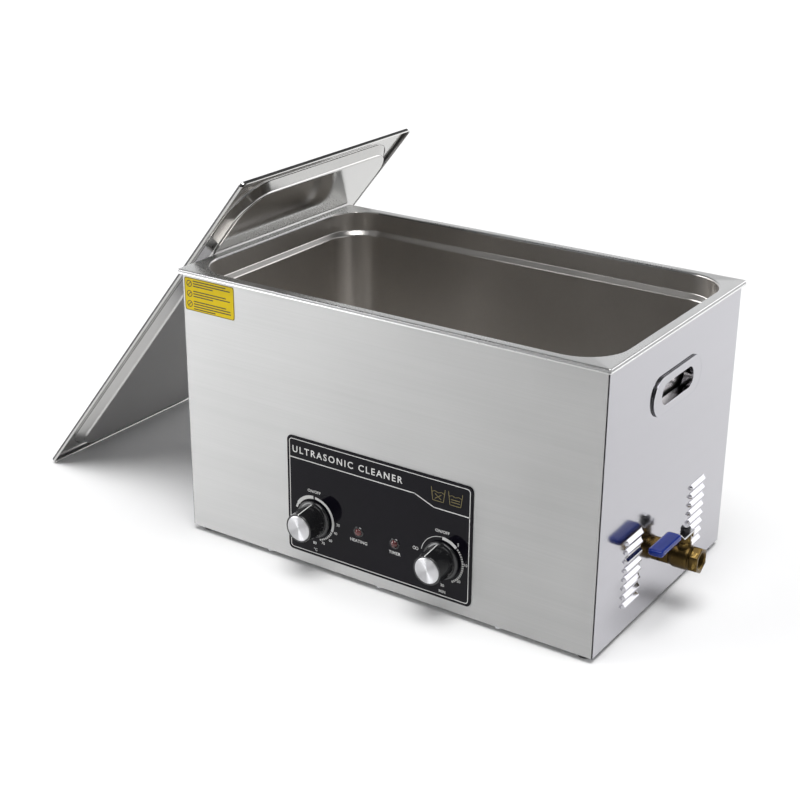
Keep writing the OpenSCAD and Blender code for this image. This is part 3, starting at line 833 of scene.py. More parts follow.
# Painted shade: a darker copy of the rim steel for the lip's upright face, in place of the grey it reflects.
SHADED_LIP_STEEL = Brushed("lip_steel_painted_shade", (0.33, 0.33, 0.33), roughness=0.34, along=(1.0, 1.0, 1.0), lines=500.0,
                    stretch=0.6, relief=0.02, streak_depth=0.015)
# Painted shade: near-black colour on the upright wall round each handle's raised surround, standing in for
# the shadow line at its edge.
PAINTED_SHADE_EDGING = Finish("handle_wall_painted_shade", (0.006, 0.006, 0.008), roughness=0.45, variation=0.1)
# Painted shade: darker steel on the top of the lid's lip, standing in for the dark reflection along its edge.
PAINTED_SHADE_EDGE_STEEL = Finish("edge_steel_painted_shade", (0.10, 0.10, 0.10), metallic=1.0, roughness=0.4, variation=0.1)
LID_STEEL = Finish("lid_steel", (0.52, 0.515, 0.505), metallic=1.0, roughness=0.13, variation=0.02,
                   patch=9.0, grain=300.0, relief=0.003, gloss_spread=0.03)
BRIGHT_STEEL = Finish("bright_steel", (0.66, 0.66, 0.67), metallic=1.0, roughness=0.18, variation=0.04)
ZINC = Finish("zinc_steel", (0.55, 0.56, 0.57), metallic=1.0, roughness=0.38, variation=0.12, patch=120.0)
BLACK_STEEL = Finish("black_steel", (0.035, 0.034, 0.036), metallic=0.8, roughness=0.33, variation=0.2)
RUBBER = Finish("rubber", (0.018, 0.018, 0.018), roughness=0.62, variation=0.15, relief=0.5)
SILICONE = Finish("silicone", (0.72, 0.71, 0.67), roughness=0.35, variation=0.04, coat=0.2)
HEATER_MAT = Banded("heater_mat", (0.42, 0.09, 0.03), roughness=0.5, axis="X", pitch=6.0,
                    band_colour=(0.34, 0.07, 0.025), relief=0.3)
LABEL_FILM = Finish("label_film", (0.66, 0.49, 0.008), roughness=0.42, variation=0.06, patch=70.0,
                    relief=0.05, specular=0.15)
LABEL_INK = Finish("label_ink", (0.055, 0.040, 0.006), roughness=0.5, variation=0.1)
BLACK_PLATE = Finish("black_plate", (0.0035, 0.003, 0.0055), roughness=0.07, variation=0.15, patch=12.0,
                     gloss_spread=0.03, relief=0.02, specular=0.14)
SILVER_INK = Finish("silver_ink", (0.58, 0.58, 0.57), roughness=0.40, variation=0.04, specular=0.2)
GOLD_INK = Finish("gold_ink", (0.17, 0.14, 0.05), roughness=0.4, metallic=0.3)
WHITE_PAINT = Finish("white_paint", (0.75, 0.75, 0.73), roughness=0.4, variation=0.05)
BLACK_PLASTIC = Finish("black_plastic", (0.012, 0.012, 0.013), roughness=0.16, variation=0.2,
                       gloss_spread=0.05, relief=0.1, coat=0.3)
FAN_PLASTIC = Finish("fan_plastic", (0.02, 0.02, 0.022), roughness=0.5, variation=0.15, relief=0.4)
SPUN_ALUMINIUM = Spun("spun_aluminium", (0.60, 0.60, 0.615), roughness=0.40, grain=2600.0,
                      variation=0.16, relief=0.25, stretch=0.95)
CAST_ALUMINIUM = Finish("cast_aluminium", (0.6, 0.61, 0.62), metallic=1.0, roughness=0.36, variation=0.08)
COPPER = Finish("copper", (0.72, 0.34, 0.2), metallic=1.0, roughness=0.3, variation=0.15, patch=90.0)
BRASS = Cast("brass", (0.50, 0.34, 0.10), roughness=0.30, relief=0.35, bare=0.55)
CAST_BRASS = Cast("cast_brass", (0.42, 0.28, 0.08), roughness=0.36, relief=0.6, bare=0.35)
FOIL = Finish("electrode_foil", (0.72, 0.55, 0.28), metallic=1.0, roughness=0.25, variation=0.1)
CERAMIC = Finish("piezo_ceramic", (0.62, 0.60, 0.55), roughness=0.45, variation=0.08, patch=200.0)
PTFE = Finish("ptfe", (0.85, 0.85, 0.83), roughness=0.5, variation=0.03)
IVORY = Finish("ivory_plastic", (0.64, 0.59, 0.46), roughness=0.42, variation=0.05)
BOARD = Board("board_green", (0.008, 0.10, 0.03), roughness=0.3)
SLEEVE_FILM = Finish("capacitor_film", (0.015, 0.04, 0.20), roughness=0.28, variation=0.1, coat=0.4)
CORE = Banded("wound_core", (0.13, 0.13, 0.14), metallic=0.8, roughness=0.4, axis="Z", pitch=1.0,
              band_colour=(0.05, 0.05, 0.055), relief=0.4)
WINDING = Banded("winding", (0.36, 0.12, 0.035), metallic=0.3, roughness=0.3, axis="X", pitch=1.6,
                 band_colour=(0.16, 0.05, 0.015), relief=0.5, coat=0.6)
BLUE_VINYL = Finish("blue_vinyl", (0.002, 0.018, 0.19), roughness=0.20, variation=0.15, patch=60.0,
                    relief=0.15, coat=0.15, specular=0.25)
LAMP_LENS = Lens("lamp_lens", (0.46, 0.15, 0.15), patch=80.0)
FLOOR = Finish("floor", (0.90, 0.90, 0.90), roughness=0.6, variation=0.01, patch=3.0, relief=0.02)

CAD_FINISHES: dict[str, Finish] = {
    "base_plate": ZINC, "rear_screws": BRIGHT_STEEL, "base_screws": ZINC, "foot_screws": ZINC,
    "rim_gasket": RUBBER, "thermostat_body": ZINC, "thermostat_shaft": BRIGHT_STEEL,
    "thermostat_bulb": COPPER, "timer_body": IVORY, "timer_shaft": BRIGHT_STEEL,
    "bushing_nuts": BRIGHT_STEEL, "transducer_front_masses": CAST_ALUMINIUM, "piezo_rings": CERAMIC,
    "transducer_electrodes": FOIL, "transducer_back_masses": BLACK_STEEL,
    "transducer_bolts": BLACK_STEEL, "heater_pads": HEATER_MAT, "circuit_board": BOARD,
    "board_standoffs": ZINC, "heat_sinks": CAST_ALUMINIUM, "capacitors": SLEEVE_FILM,
    "transformer_core": CORE, "transformer_winding": WINDING, "fan_frame": FAN_PLASTIC,
    "fan_rotor": FAN_PLASTIC, "mains_inlet": BLACK_PLASTIC, "fuse_drawer": BLACK_PLASTIC,
    "drain_fitting": BRIGHT_STEEL, "drain_locknut": BRASS, "drain_hose": SILICONE,
    "hose_clamps": BRIGHT_STEEL, "bulkhead_nipple": BRASS, "bulkhead_nut": BRASS,
    "valve_ball": BRIGHT_STEEL, "valve_seats": PTFE, "valve_stem": BRIGHT_STEEL,
}


@dataclass
class Cabinet:
    """The folded sheets round the bath, with their feet.

    A round hole is given as its place along the sheet, its height and its radius.
    """

    width: float = 523.0
    depth: float = 315.0
    foot_height: float = 6.0
    top: float = 318.0
    corner: float = 1.3
    bend_radius: float = 0.9
    flange: float = 4.8
    sheet: float = 1.0
    side_sheet_wall: float = 0.45
    grip_height: float = 250.5
    grip_size: Point = (116.0, 43.0)
    grip_depth: float = 4.0
    grip_proud: float = 1.9
    slot_size: Point = (76.0, 23.5)
    louvre_size: Point = (37.0, 6.4)
    louvre_rise: float = 5.2
    louvre_out: float = 3.4
    louvre_first: float = 36.0
    louvre_pitch: float = 10.4
    louvre_rows: int = 8
    louvre_y: float = 78.0
    louvre_end: float = 2.2
    louvre_steepness: float = 1.12
    dial_hole: Triple = (83.0, 65.0, 5.0)
    lamp_hole: Triple = (23.5, 66.0, 4.8)
    drain_hole: Point = (61.0, 10.7)
    fan_hole: Triple = (150.0, 62.0, 38.0)
    inlet_at: Point = (-150.0, 48.0)
    inlet_size: Point = (27.5, 31.0)
    vent_size: Point = (4.0, 55.0)
    vent_z: float = 62.5
    vent_pitch: int = 12
    vent_reach: int = 60
    foot_radius: float = 10.0
    foot_at: Point = (247.0, 143.0)

    def __post_init__(self) -> None:
        """Works out the sheets' common height and middle."""
        self.height = self.top - self.foot_height
        self.middle = (self.top + self.foot_height) / 2

    def pan(self, width: float, holes: list[Edges], shape: Shape, shift: float = 0.0) -> None:
        """Shapes a flat sheet with its four edges folded back, round some holes.

        Args:
            width: The sheet's width.
            holes: Loops already in the shape, left open.
            shape: The shape to add to.
            shift: How far its middle lies along X.
        """
        loops = [shape.ring(width - 2 * side, self.height - 2 * side, 0.6, -down, 2, (shift, 0.0))
                 for side, down in bend(self.bend_radius)]
        loops.append(shape.ring(width, self.height, 0.6, -self.flange, 2, (shift, 0.0)))
        shape.sheet(loops[0], *holes)
        shape.bridge(*loops)

    def hood(self, shape: Shape, x: float, y: float) -> None:
        """Adds one louvre's hood, open below, pressed out of the sheet.

        Args:
            shape: The side sheet.
            x: Middle of the hood along the sheet.
            y: Height of the hood's shoulder on the sheet.
        """
        width, tall = self.louvre_size
        verts = bmesh.ops.create_grid(shape.bm, x_segments=18, y_segments=9, size=0.5)["verts"]
        bmesh.ops.scale(shape.bm, vec=(width, tall, 1), verts=verts)
        low = self.louvre_rise - tall
        for v in verts:
            reach = min(1.0, (width / 2 - abs(v.co.x)) / self.louvre_end)
            v.co.y += tall / 2 + low
            rise = max(0.0, v.co.y) / self.louvre_rise
            slope = min(1.0, self.louvre_steepness * (1 - rise))
            v.co.z = self.louvre_out * slope * math.sin(reach * math.pi / 2)
        bmesh.ops.translate(shape.bm, vec=(x, y, 0), verts=verts)

    def grip(self, shape: Shape, y: float) -> Edges:
        """Adds the raised surround of a carrying handle and its slot.

        Args:
            shape: The side sheet.
            y: Height of its middle on the sheet.

        Returns:
            The loop where the surround leaves the sheet.
        """
        (length, tall), (slot_length, slot_tall) = self.grip_size, self.slot_size

        def loop(long: float, high: float, grow: float, level: float) -> Edges:
            """One oval loop of that size, grown all round, at that level."""
            return shape.ring(long + 2 * grow, high + 2 * grow, high / 2 + grow, level, 10, (0.0, y))

        proud = self.grip_proud
        outer = [loop(length, tall, grow, level)
                 for grow, level in ((0.05, 0.0), (0.0, 0.05), (0.0, proud - 0.3))]
        foot = [loop(length, tall, side - 0.3, proud - down) for side, down in reversed(bend(0.3))]
        lip = [loop(slot_length, slot_tall, side, proud - down) for side, down in bend(0.5)]
        wall = loop(slot_length, slot_tall, 0.0, -self.grip_depth - 5.0)
        shape.bridge(*outer, *foot, *lip, wall)
        return outer[0]

    def side_sheet(self, side: Side) -> None:
        """Builds one side sheet, with its louvres and its handle.

        Args:
            side: Which side.
        """
        shape = Shape()
        holes = [self.grip(shape, self.grip_height - self.middle)]
        width, tall = self.louvre_size
        for x in (-self.louvre_y, self.louvre_y):
            for row in range(self.louvre_rows):
                y = self.louvre_first + row * self.louvre_pitch - self.middle
                middle = (x, y + self.louvre_rise - tall / 2)
                holes.append(shape.ring(width, tall, 0.01, 0.0, 1, middle))
                self.hood(shape, x, y)
        name, body_x = ("right", self.width / 2) if side is Side.RIGHT else ("left", -self.width / 2)
        if side is Side.RIGHT:
            height, radius = self.drain_hole
            holes.append(shape.circle(radius, 0.0, 32, (0.0, height - self.middle)))
        front = -1.0 if side is Side.RIGHT else 1.0
        spare = 3.0
        edge = self.depth / 2 - self.corner
        self.pan(2 * edge + spare, holes, shape, front * spare / 2)
        everything = [*shape.bm.verts, *shape.bm.edges, *shape.bm.faces]
        bmesh.ops.bisect_plane(shape.bm, geom=everything, plane_co=(front * edge, 0, 0),
                               plane_no=(front, 0, 0), clear_outer=True)
        shape.map_flat()
        # The upright wall round the handle's surround takes near-black painted shade, in place of the shadow
        # line at its edge.
        shape.done(f"{name}_side_sheet", SIDE_STEEL, "cabinet", side.at(body_x, 0, self.middle),
                   (f"{name}_side_panel",), "mirror_steel", self.side_sheet_wall, (0, 0, 1),
                   accents=((PAINTED_SHADE_EDGING, self.on_painted_shade_wall),))

    def on_painted_shade_wall(self, face: bmesh.types.BMFace) -> bool:
        """Whether a face is the upright wall round a handle's surround, coloured near black as painted shade.

        Args:
            face: A face of a side sheet.

        Returns:
            True for an upright face close to the surround's outline.
        """
        middle = face.calc_center_median()
        near = (abs(middle.x) < self.grip_size[0] / 2 + 2
                and abs(middle.y - self.grip_height + self.middle) < self.grip_size[1] / 2 + 2)
        return near and abs(face.normal.z) < 0.3 and 0.0 < middle.z < self.grip_proud - 0.3

    def front_sheet(self) -> None:
        """Builds the front sheet, with its holes behind the control plate."""
        shape = Shape()
        holes = [shape.circle(radius, 0.0, 24, (side * x, z - self.middle))
                 for x, z, radius in (self.dial_hole, self.lamp_hole) for side in (-1, 1)]
        self.pan(self.width - 2 * self.corner, holes, shape)
        shape.map_flat()
        shape.done("front_sheet", FRONT_STEEL, "cabinet", Side.FRONT.at(0, -self.depth / 2, self.middle),
                   ("front_panel",), "sheet_steel", self.sheet, (0, 0, 1))

    def rear_sheet(self) -> None:
        """Builds the rear sheet, with its fan hole, its slots and the inlet's opening."""
        shape = Shape()
        x, z, radius = self.fan_hole
        inlet_x, inlet_z = self.inlet_at
        holes = [shape.circle(radius, 0.0, 64, (x, z - self.middle)),
                 shape.ring(*self.inlet_size, 1.0, 0.0, 2, (inlet_x, inlet_z - self.middle))]
        holes += [shape.ring(*self.vent_size, 1.9, 0.0, 3, (along, self.vent_z - self.middle))
                  for along in range(-self.vent_reach, self.vent_reach + 1, self.vent_pitch)]
        self.pan(self.width - 2 * self.corner, holes, shape)
        shape.map_flat()
        shape.done("rear_sheet", REAR_STEEL, "cabinet", Side.REAR.at(0, self.depth / 2, self.middle),
                   ("rear_panel",), "mirror_steel", self.sheet, (0, 0, 1))

    def feet(self) -> None:
        """Builds the four rubber feet, each with a rounded tread and a countersunk hole."""
        shape = Shape()
        r = self.foot_radius
        profile = [(2.5, 3.0), (5.2, 3.0), (5.2, 0.6), (5.8, 0.0), (r - 2.2, 0.0), (r - 1.3, 0.5),
                   (r - 1.0, 1.2), (r - 0.7, 2.4), (r - 1.0, 2.7), (r - 0.5, 3.1), (r, 6.6), (r - 0.3, 7.0),
                   (2.5, 7.0), (2.5, 3.0)]
        far, deep = self.foot_at
        for x, y in ((-far, -deep), (-far, deep), (far, -deep), (far, deep)):
            foot = Shape()
            foot.spun(profile, 40)
            shape.add(foot, Matrix.Translation((x, y, 0)))
        shape.done("cabinet_feet", RUBBER, "cabinet", replaces=("rubber_feet",), slot="rubber")

    def build(self) -> None:
        """Builds all of the cabinet's sheets and feet."""
        self.front_sheet()
        self.side_sheet(Side.RIGHT)
        self.side_sheet(Side.LEFT)
        self.rear_sheet()
        self.feet()


@dataclass
class Bath:
    """The drawn bath with its flat rim."""

    rim: Point = (530.0, 325.0)
    opening: Point = (506.0, 301.0)
    well: Point = (496.0, 291.0)
    top: float = 320.0
    lip: float = 5.0
    corner: float = 48.0
    shoulder: float = 296.0
    ledge: float = 5.0
    floor: float = 120.0
    floor_bend: float = 16.0
    drain: Point = (205.0, 0.0)
    drain_radius: float = 9.6
    rim_bend: float = 1.6
    mouth_bend: float = 2.2
    bead: tuple[Point, ...] = ((-0.5, 0.0), (-0.12, 0.1), (0.0, 0.65), (-0.12, 1.2), (-0.42, 1.6),
                               (-0.5, 2.1))

    def build(self) -> None:
        """Builds the bath as one skin, from the hem of its rim down to its floor."""
        shape = Shape()

        def loop(size: Point, radius: float, grow: float, level: float) -> Edges:
            """One loop of that size and corner, grown all round, at that level."""
            return shape.ring(size[0] + 2 * grow, size[1] + 2 * grow, radius + grow, level, 12)

        hem, shoulder, foot = self.top - self.lip, self.shoulder, self.shoulder - self.ledge
        well_corner = self.corner - self.ledge
        loops = [loop(self.rim, 3.0, inset, hem + rise) for inset, rise in self.bead]
        loops += [loop(self.rim, 3.0, self.bead[-1][0] - side, self.top - down)
                  for side, down in reversed(bend(self.rim_bend))]
        loops += [loop(self.opening, self.corner, side, self.top - down)
                  for side, down in bend(self.mouth_bend)]
        loops += [loop(self.opening, self.corner, grow, shoulder + above)
                  for grow, above in ((0.0, 1.2), (-0.35, 0.3), (-1.2, -0.6))]
        loops += [loop(self.well, well_corner, grow, foot + above)
                  for grow, above in ((1.0, 1.2), (0.3, 0.2), (0.0, -1.0))]
        shape.bridge(*loops)
        last = loops[-1]
        for angle in (math.pi / 2 * i / 8 for i in range(9)):
            inward = self.floor_bend * (1 - math.cos(angle))
            above = self.floor_bend * (1 - math.sin(angle))
            ring = loop(self.well, well_corner, -inward, self.floor + above)
            shape.bridge(last, ring)
            last = ring
        shape.sheet(last, shape.circle(self.drain_radius, self.floor, 36, self.drain))
        self.map_round(shape)
        # The rim's lip takes a darker copy of the rim steel, as painted shade.
        shape.done("bath", BATH_STEEL, "cabinet", replaces=("tank",), slot="bath_steel", wall=1.0,
                   facing=(0, 0, 1), accents=((RIM_STEEL, self.on_rim), (SHADED_LIP_STEEL, self.on_shaded_lip)))

    def on_rim(self, face: bmesh.types.BMFace) -> bool:
        """Whether a face lies on the rim, outside the opening.

        Args:
            face: A face of the bath.

        Returns:
            True on the rim's flat top and on its lip.
        """
        x, y, z = face.calc_center_median()
        outside = abs(x) > self.opening[0] / 2 - 0.5 or abs(y) > self.opening[1] / 2 - 0.5
        return z > self.top - self.lip - 1 and (outside or z > self.top - 0.7)

    def on_shaded_lip(self, face: bmesh.types.BMFace) -> bool:
        """Whether a face lies on the flat of the rim's lip, which takes a darker copy of the rim steel as
        painted shade.
        """
        z = face.calc_center_median().z
        return self.top - self.lip + 1.7 < z < self.top - 1.0 and self.on_rim(face)

    def map_round(self, shape: Shape) -> None:
        """Gives the rim a UV map whose lines run along each of its sides.

        Args:
            shape: The bath's shape.
        """
        layer = shape.uv_layer()
        for face in shape.bm.faces:
            middle = face.calc_center_median()
            across = abs(middle.x) / self.rim[0] > abs(middle.y) / self.rim[1]
            for part in face.loops:
                x, y, z = part.vert.co * MM
                part[layer].uv = (y, x + z) if across else (x, y + z)


@dataclass
class Label:
    """The film label at the front's upper left, with generic marks in place of words."""

    middle: Point = (-223.0, 292.5)
    size: Point = (70.0, 38.0)
    face_y: float = -157.5
    corner: float = 2.6
    thick: float = 0.2
    rows: tuple[int, ...] = (3, 3, 4)
    top_row: float = 13.0
    row_pitch: float = 11.6
    sign_x: float = -28.0
    text_x: float = -22.0
    text_width: float = 52.0
    last_width: float = 34.0
    line_pitch: float = 2.9

    def film(self, place: Matrix) -> None:
        """Builds the film.

        Args:
            place: The label's placement.
        """
        film = Shape()
        loops = [film.ring(*self.size, self.corner, level, 4) for level in (0.0, self.thick)]
        film.bridge(*loops)
        for loop in loops:
            film.cap(loop)
        film.done("label_film", LABEL_FILM, "cabinet", place, ("front_label",), "yellow_label")

    def marks(self, place: Matrix) -> None:
        """Builds a border and, for each row, a crossed ring and broken bars.

        Args:
            place: The label's placement.
        """
        marks = Shape()
        width, height = self.size
        border = [marks.ring(width - inset, height - inset, 2.2, 0.03, 4) for inset in (0.5, 1.9)]
        marks.bridge(*border)
        for row, count in enumerate(self.rows):
            y = self.top_row - row * self.row_pitch
            marks.add(arc_band((self.sign_x, y - 1.0), 2.9, 3.9, 0, 360))
            marks.add(stroke([(self.sign_x - 1.8, y - 2.8), (self.sign_x + 1.8, y + 0.8)], 1.0))
            for line in range(count):
                at = y + 2.6 - line * self.line_pitch
                end = self.text_x + (self.text_width if line < count - 1 else self.last_width)
                x = self.text_x
                word = 6.5 + (row * 3 + line) % 3
                while x + word < end:
                    marks.add(stroke([(x, at), (x + word, at)], 1.3))
                    x += word + 1.5
                    word = 4.5 + (word * 1.7) % 4.0
        above = place @ Matrix.Translation((0, 0, self.thick))
        marks.done("label_marks", LABEL_INK, "cabinet", above, slot="yellow_label")

    def build(self) -> None:
        """Builds the film and its marks."""
        place = Side.FRONT.at(self.middle[0], self.face_y, self.middle[1])
        self.film(place)
        self.marks(place)


@dataclass
class ControlPanel:
    """The glossy black plate with its printing, its lamps and its two dials."""

    width: float = 238.0
    height: float = 139.0
    middle_z: float = 88.5
    back_y: float = -157.5
    thick: float = 1.2
    corner: float = 6.0
    dial_x: float = 83.0
    dial_z: float = 65.0
    lamp_x: float = 23.5
    lamp_z: float = 66.0
    knob_base: float = -159.5
    knob_length: float = 28.5
    skirt_radius: float = 21.5
    knob_radius: float = 19.0
    tip_radius: float = 16.6
    cap_radius: float = 14.5
    inset: float = 3.0
    number_height: float = 3.4
    caption_height: float = 3.7

    def plate(self) -> None:
        """Builds the plate with its edge broken."""
        shape = Shape()
        w, h, r, t = self.width, self.height, self.corner, self.thick
        loops = [shape.ring(w, h, r, 0.0), shape.ring(w, h, r, t - 0.4),
                 shape.ring(w - 0.3, h - 0.3, r - 0.15, t - 0.1), shape.ring(w - 0.9, h - 0.9, r - 0.45, t)]
        holes = [(x, self.dial_z - self.middle_z, 5.0) for x in (-self.dial_x, self.dial_x)]
        holes += [(x, self.lamp_z - self.middle_z, 4.8) for x in (-self.lamp_x, self.lamp_x)]
        front = [shape.circle(radius, t, 24, (x, z)) for x, z, radius in holes]
        back = [shape.circle(radius, 0.0, 24, (x, z)) for x, z, radius in holes]
        shape.bridge(*loops)
        for near, far in zip(front, back):
            shape.bridge(near, far)
        shape.sheet(loops[-1], *front)
        shape.sheet(loops[0], *back)
        shape.done("panel_plate", BLACK_PLATE, "cabinet", Side.FRONT.at(0, self.back_y, self.middle_z),
                   ("control_plate",), "black_plate")

    def outline(self, ink: Shape) -> None:
        """Draws the frame line and the stepped line under the title.

        Args:
            ink: The printing.
        """
        side, low = self.width / 2 - self.inset, self.middle_z - self.height / 2 + self.inset
        tall = self.height - 2 * self.inset
        loops = [ink.ring(2 * side - less, tall - less, radius, 0.05, 6, (0.0, self.middle_z))
                 for less, radius in ((0.0, 4.0), (1.8, 3.1))]
        ink.bridge(*loops)
        title_foot = low + tall - 22.5
        ink.add(stroke([(-side + 0.5, title_foot), (48.0, title_foot), (72.0, title_foot - 9.5),
                        (side - 0.5, title_foot - 9.5)], 1.1))

    def scales(self, ink: Shape) -> None:
        """Draws the bands round both dials.

        Args:
            ink: The printing.
        """
        left, right = (-self.dial_x, self.dial_z), (self.dial_x, self.dial_z)
        for middle, inner, outer, start, end in (
                (left, 23.6, 27.4, -58, -2.5), (left, 24.4, 26.6, -72, -58), (left, 23.8, 26.8, 2.5, 112),
                (right, 26.0, 26.7, -78, -2), (right, 23.4, 27.0, 0, 43)):
            ink.add(arc_band(middle, inner, outer, start, end))
        for step in range(8):
            start = 115.0 + 6.4 * step
            ink.add(arc_band(left, 24.2, 26.6 - 0.08 * step, start, start + 4.2))
        for step in range(18):
            start = 47.0 + 5.9 * step
            ink.add(arc_band(right, 24.4, 26.8, start, start + 3.0))

    def words(self, ink: Shape) -> None:
        """Prints the title, the captions and the numbers.

        Args:
            ink: The printing.
        """
        ink.add(lettering("ULTRASONIC CLEANER", 8.0, (-112.0, 139.0), False, 0.16, 1.30))
        for x in (-self.dial_x, self.dial_x):
            ink.add(lettering("ON/OFF", self.number_height, (x, 96.2), True, 0.08, 1.05))
        for text, x, z in (("30", -51.0, 64.5), ("40", -54.5, 53.5), ("60", -61.5, 42.6),
                           ("70", -71.5, 36.4), ("80", -83.0, 33.6), ("°C", -82.0, 25.6),
                           ("5", 102.5, 86.6), ("10", 112.0, 65.6), ("20", 104.0, 44.2),
                           ("30", 84.0, 33.4), ("MIN", 84.0, 25.8)):
            ink.add(lettering(text, self.number_height, (x, z), True, 0.06))
        for text, x in (("HEATING", -self.lamp_x), ("TIMER", self.lamp_x)):
            ink.add(lettering(text, self.caption_height, (x, 53.0), True, 0.1, 1.08))
        for x in (48.3, 51.7):
            ink.add(arc_band((x, 69.0), 1.3, 1.9, 0, 360))

    def pictograms(self, gold: Shape) -> None:
        """Draws two tubs of water, one crossed out and one with level lines.

        Args:
            gold: The gold printing.
        """
        crossed, lined = 77.0, 98.0
        for x in (crossed, lined):
            tub = [(x - 8.5, 146.0), (x - 6.5, 131.5), (x + 6.5, 131.5), (x + 8.5, 146.0)]
            water = [(x + dx, z) for dx, z in ((-7.4, 141.0), (-4.0, 142.4), (0.0, 141.0), (4.0, 142.4),
                                               (7.4, 141.0))]
            gold.add(stroke(tub, 0.7))
            gold.add(stroke(water, 0.6))
        for line in ([(crossed - 3.5, 134.0), (crossed + 3.5, 139.0)],
                     [(crossed - 3.5, 139.0), (crossed + 3.5, 134.0)],
                     [(lined - 5.0, 135.0), (lined + 5.0, 135.0)],
                     [(lined - 5.0, 137.8), (lined + 5.0, 137.8)]):
            gold.add(stroke(line, 0.8))

    def printing(self) -> None:
        """Builds the silver and gold printing, with generic words and numbers only."""
        place = Side.FRONT.at(0, self.back_y - self.thick, 0)
        ink, gold = Shape(), Shape()
        self.outline(ink)
        self.words(ink)
        self.scales(ink)
        ink.done("panel_printing", SILVER_INK, "cabinet", place, slot="black_plate")
        self.pictograms(gold)
        gold.done("panel_pictograms", GOLD_INK, "cabinet", place, slot="black_plate")

    def lamp(self, name: str, x: float) -> None:
        """Builds one pilot lamp: a domed lens in a thin bezel.

        Args:
            name: The lamp's CAD node.
            x: Its place on the plate.
        """
        shape = Shape()
        profile = [(0.0, 3.6)] + [(4.2 * math.sin(a), 0.6 + 3.0 * math.cos(a))
                                  for a in (math.pi / 2 * i / 8 for i in range(1, 9))]
        profile += [(4.4, -20.0), (0.0, -20.0)]
        shape.spun(profile, 40)
        place = Side.FRONT.at(x, self.back_y - self.thick, self.lamp_z)
        shape.done(f"{name}_lens", LAMP_LENS, "cabinet", place, (name,), "lamp_lens")
        bezel = Shape()
        bezel.spun([(4.4, 0.0), (4.4, 0.9), (4.9, 1.3), (5.7, 1.2), (6.3, 0.5), (6.4, 0.0), (4.4, 0.0)], 40)
        bezel.done(f"{name}_bezel", BLACK_PLASTIC, "cabinet", place, slot="lamp_lens")

    def dial(self, name: str, x: float, turn: float) -> None:
        """Builds one knob, with its pointer line and its spun cap.

        Args:
            name: heat or timer.
            x: Its place on the plate.
            turn: Clock angle of its pointer, in degrees.
        """
        body = f"{name}_dial"
        place = Side.FRONT.at(x, self.knob_base, self.dial_z)
        length, tip, base, skirt = self.knob_length, self.tip_radius, self.knob_radius, self.skirt_radius
        knob = Shape()
        profile = [(10.5, 5.0), (10.5, 0.3), (11.0, 0.0), (skirt - 0.8, 0.0), (skirt, 0.7), (skirt, 2.2),
                   (skirt - 0.5, 3.1), (base + 0.6, 3.5), (base - 0.2, 4.1)]
        profile += [(base - (base - tip) * t, 3.5 + (length - 5.0) * t) for t in (0.1, 0.5, 0.9, 0.98)]
        profile += [(tip - 0.05, length - 0.7), (tip - 0.35, length - 0.15), (tip - 0.8, length),
                    (self.cap_radius + 0.35, length), (self.cap_radius + 0.1, length - 0.2),
                    (self.cap_radius + 0.1, length - 1.0), (0.0, length - 1.0)]
        knob.spun(profile, 72)
        knob.done(f"{name}_knob_moulding", BLACK_PLASTIC, body, place, (f"{name}_knob",), "black_plastic")
        cap = Shape()
        radius = self.cap_radius
        cap.spun([(0.0, length + 0.28), (radius * 0.3, length + 0.29), (radius * 0.6, length + 0.31),
                  (radius - 1.4, length + 0.33), (radius - 1.1, length + 0.38), (radius - 0.5, length + 0.3),
                  (radius, length - 0.1), (radius, length - 0.9)], 96)
        cap.map_polar()
        cap.done(f"{name}_knob_disc", SPUN_ALUMINIUM, body, place, (f"{name}_knob_cap",), "spun_aluminium")
        line = Shape()
        half = 0.55
        top = [(base + 0.12, 4.2), (tip + 0.14, length - 0.9), (tip - 0.5, length + 0.08)]
        foot = [(base - 1.4, 4.2), (tip - 0.7, length - 1.6), (tip - 1.2, length - 0.1)]
        line.prism([(z, r) for r, z in top] + [(z, r) for r, z in reversed(foot)], -half, half)
        stand = Matrix(((0, 0, 1, 0), (0, 1, 0, 0), (1, 0, 0, 0), (0, 0, 0, 1)))
        line.done(f"{name}_pointer", WHITE_PAINT, body,
                  place @ Matrix.Rotation(-math.radians(turn), 4, "Z") @ stand, slot="black_plastic")

    def build(self) -> None:
        """Builds the whole panel."""
        self.plate()
        self.printing()
        self.lamp("heating_lamp", -self.lamp_x)
        self.lamp("timer_lamp", self.lamp_x)
        self.dial("heat", -self.dial_x, 0.0)
        self.dial("timer", self.dial_x, -9.0)


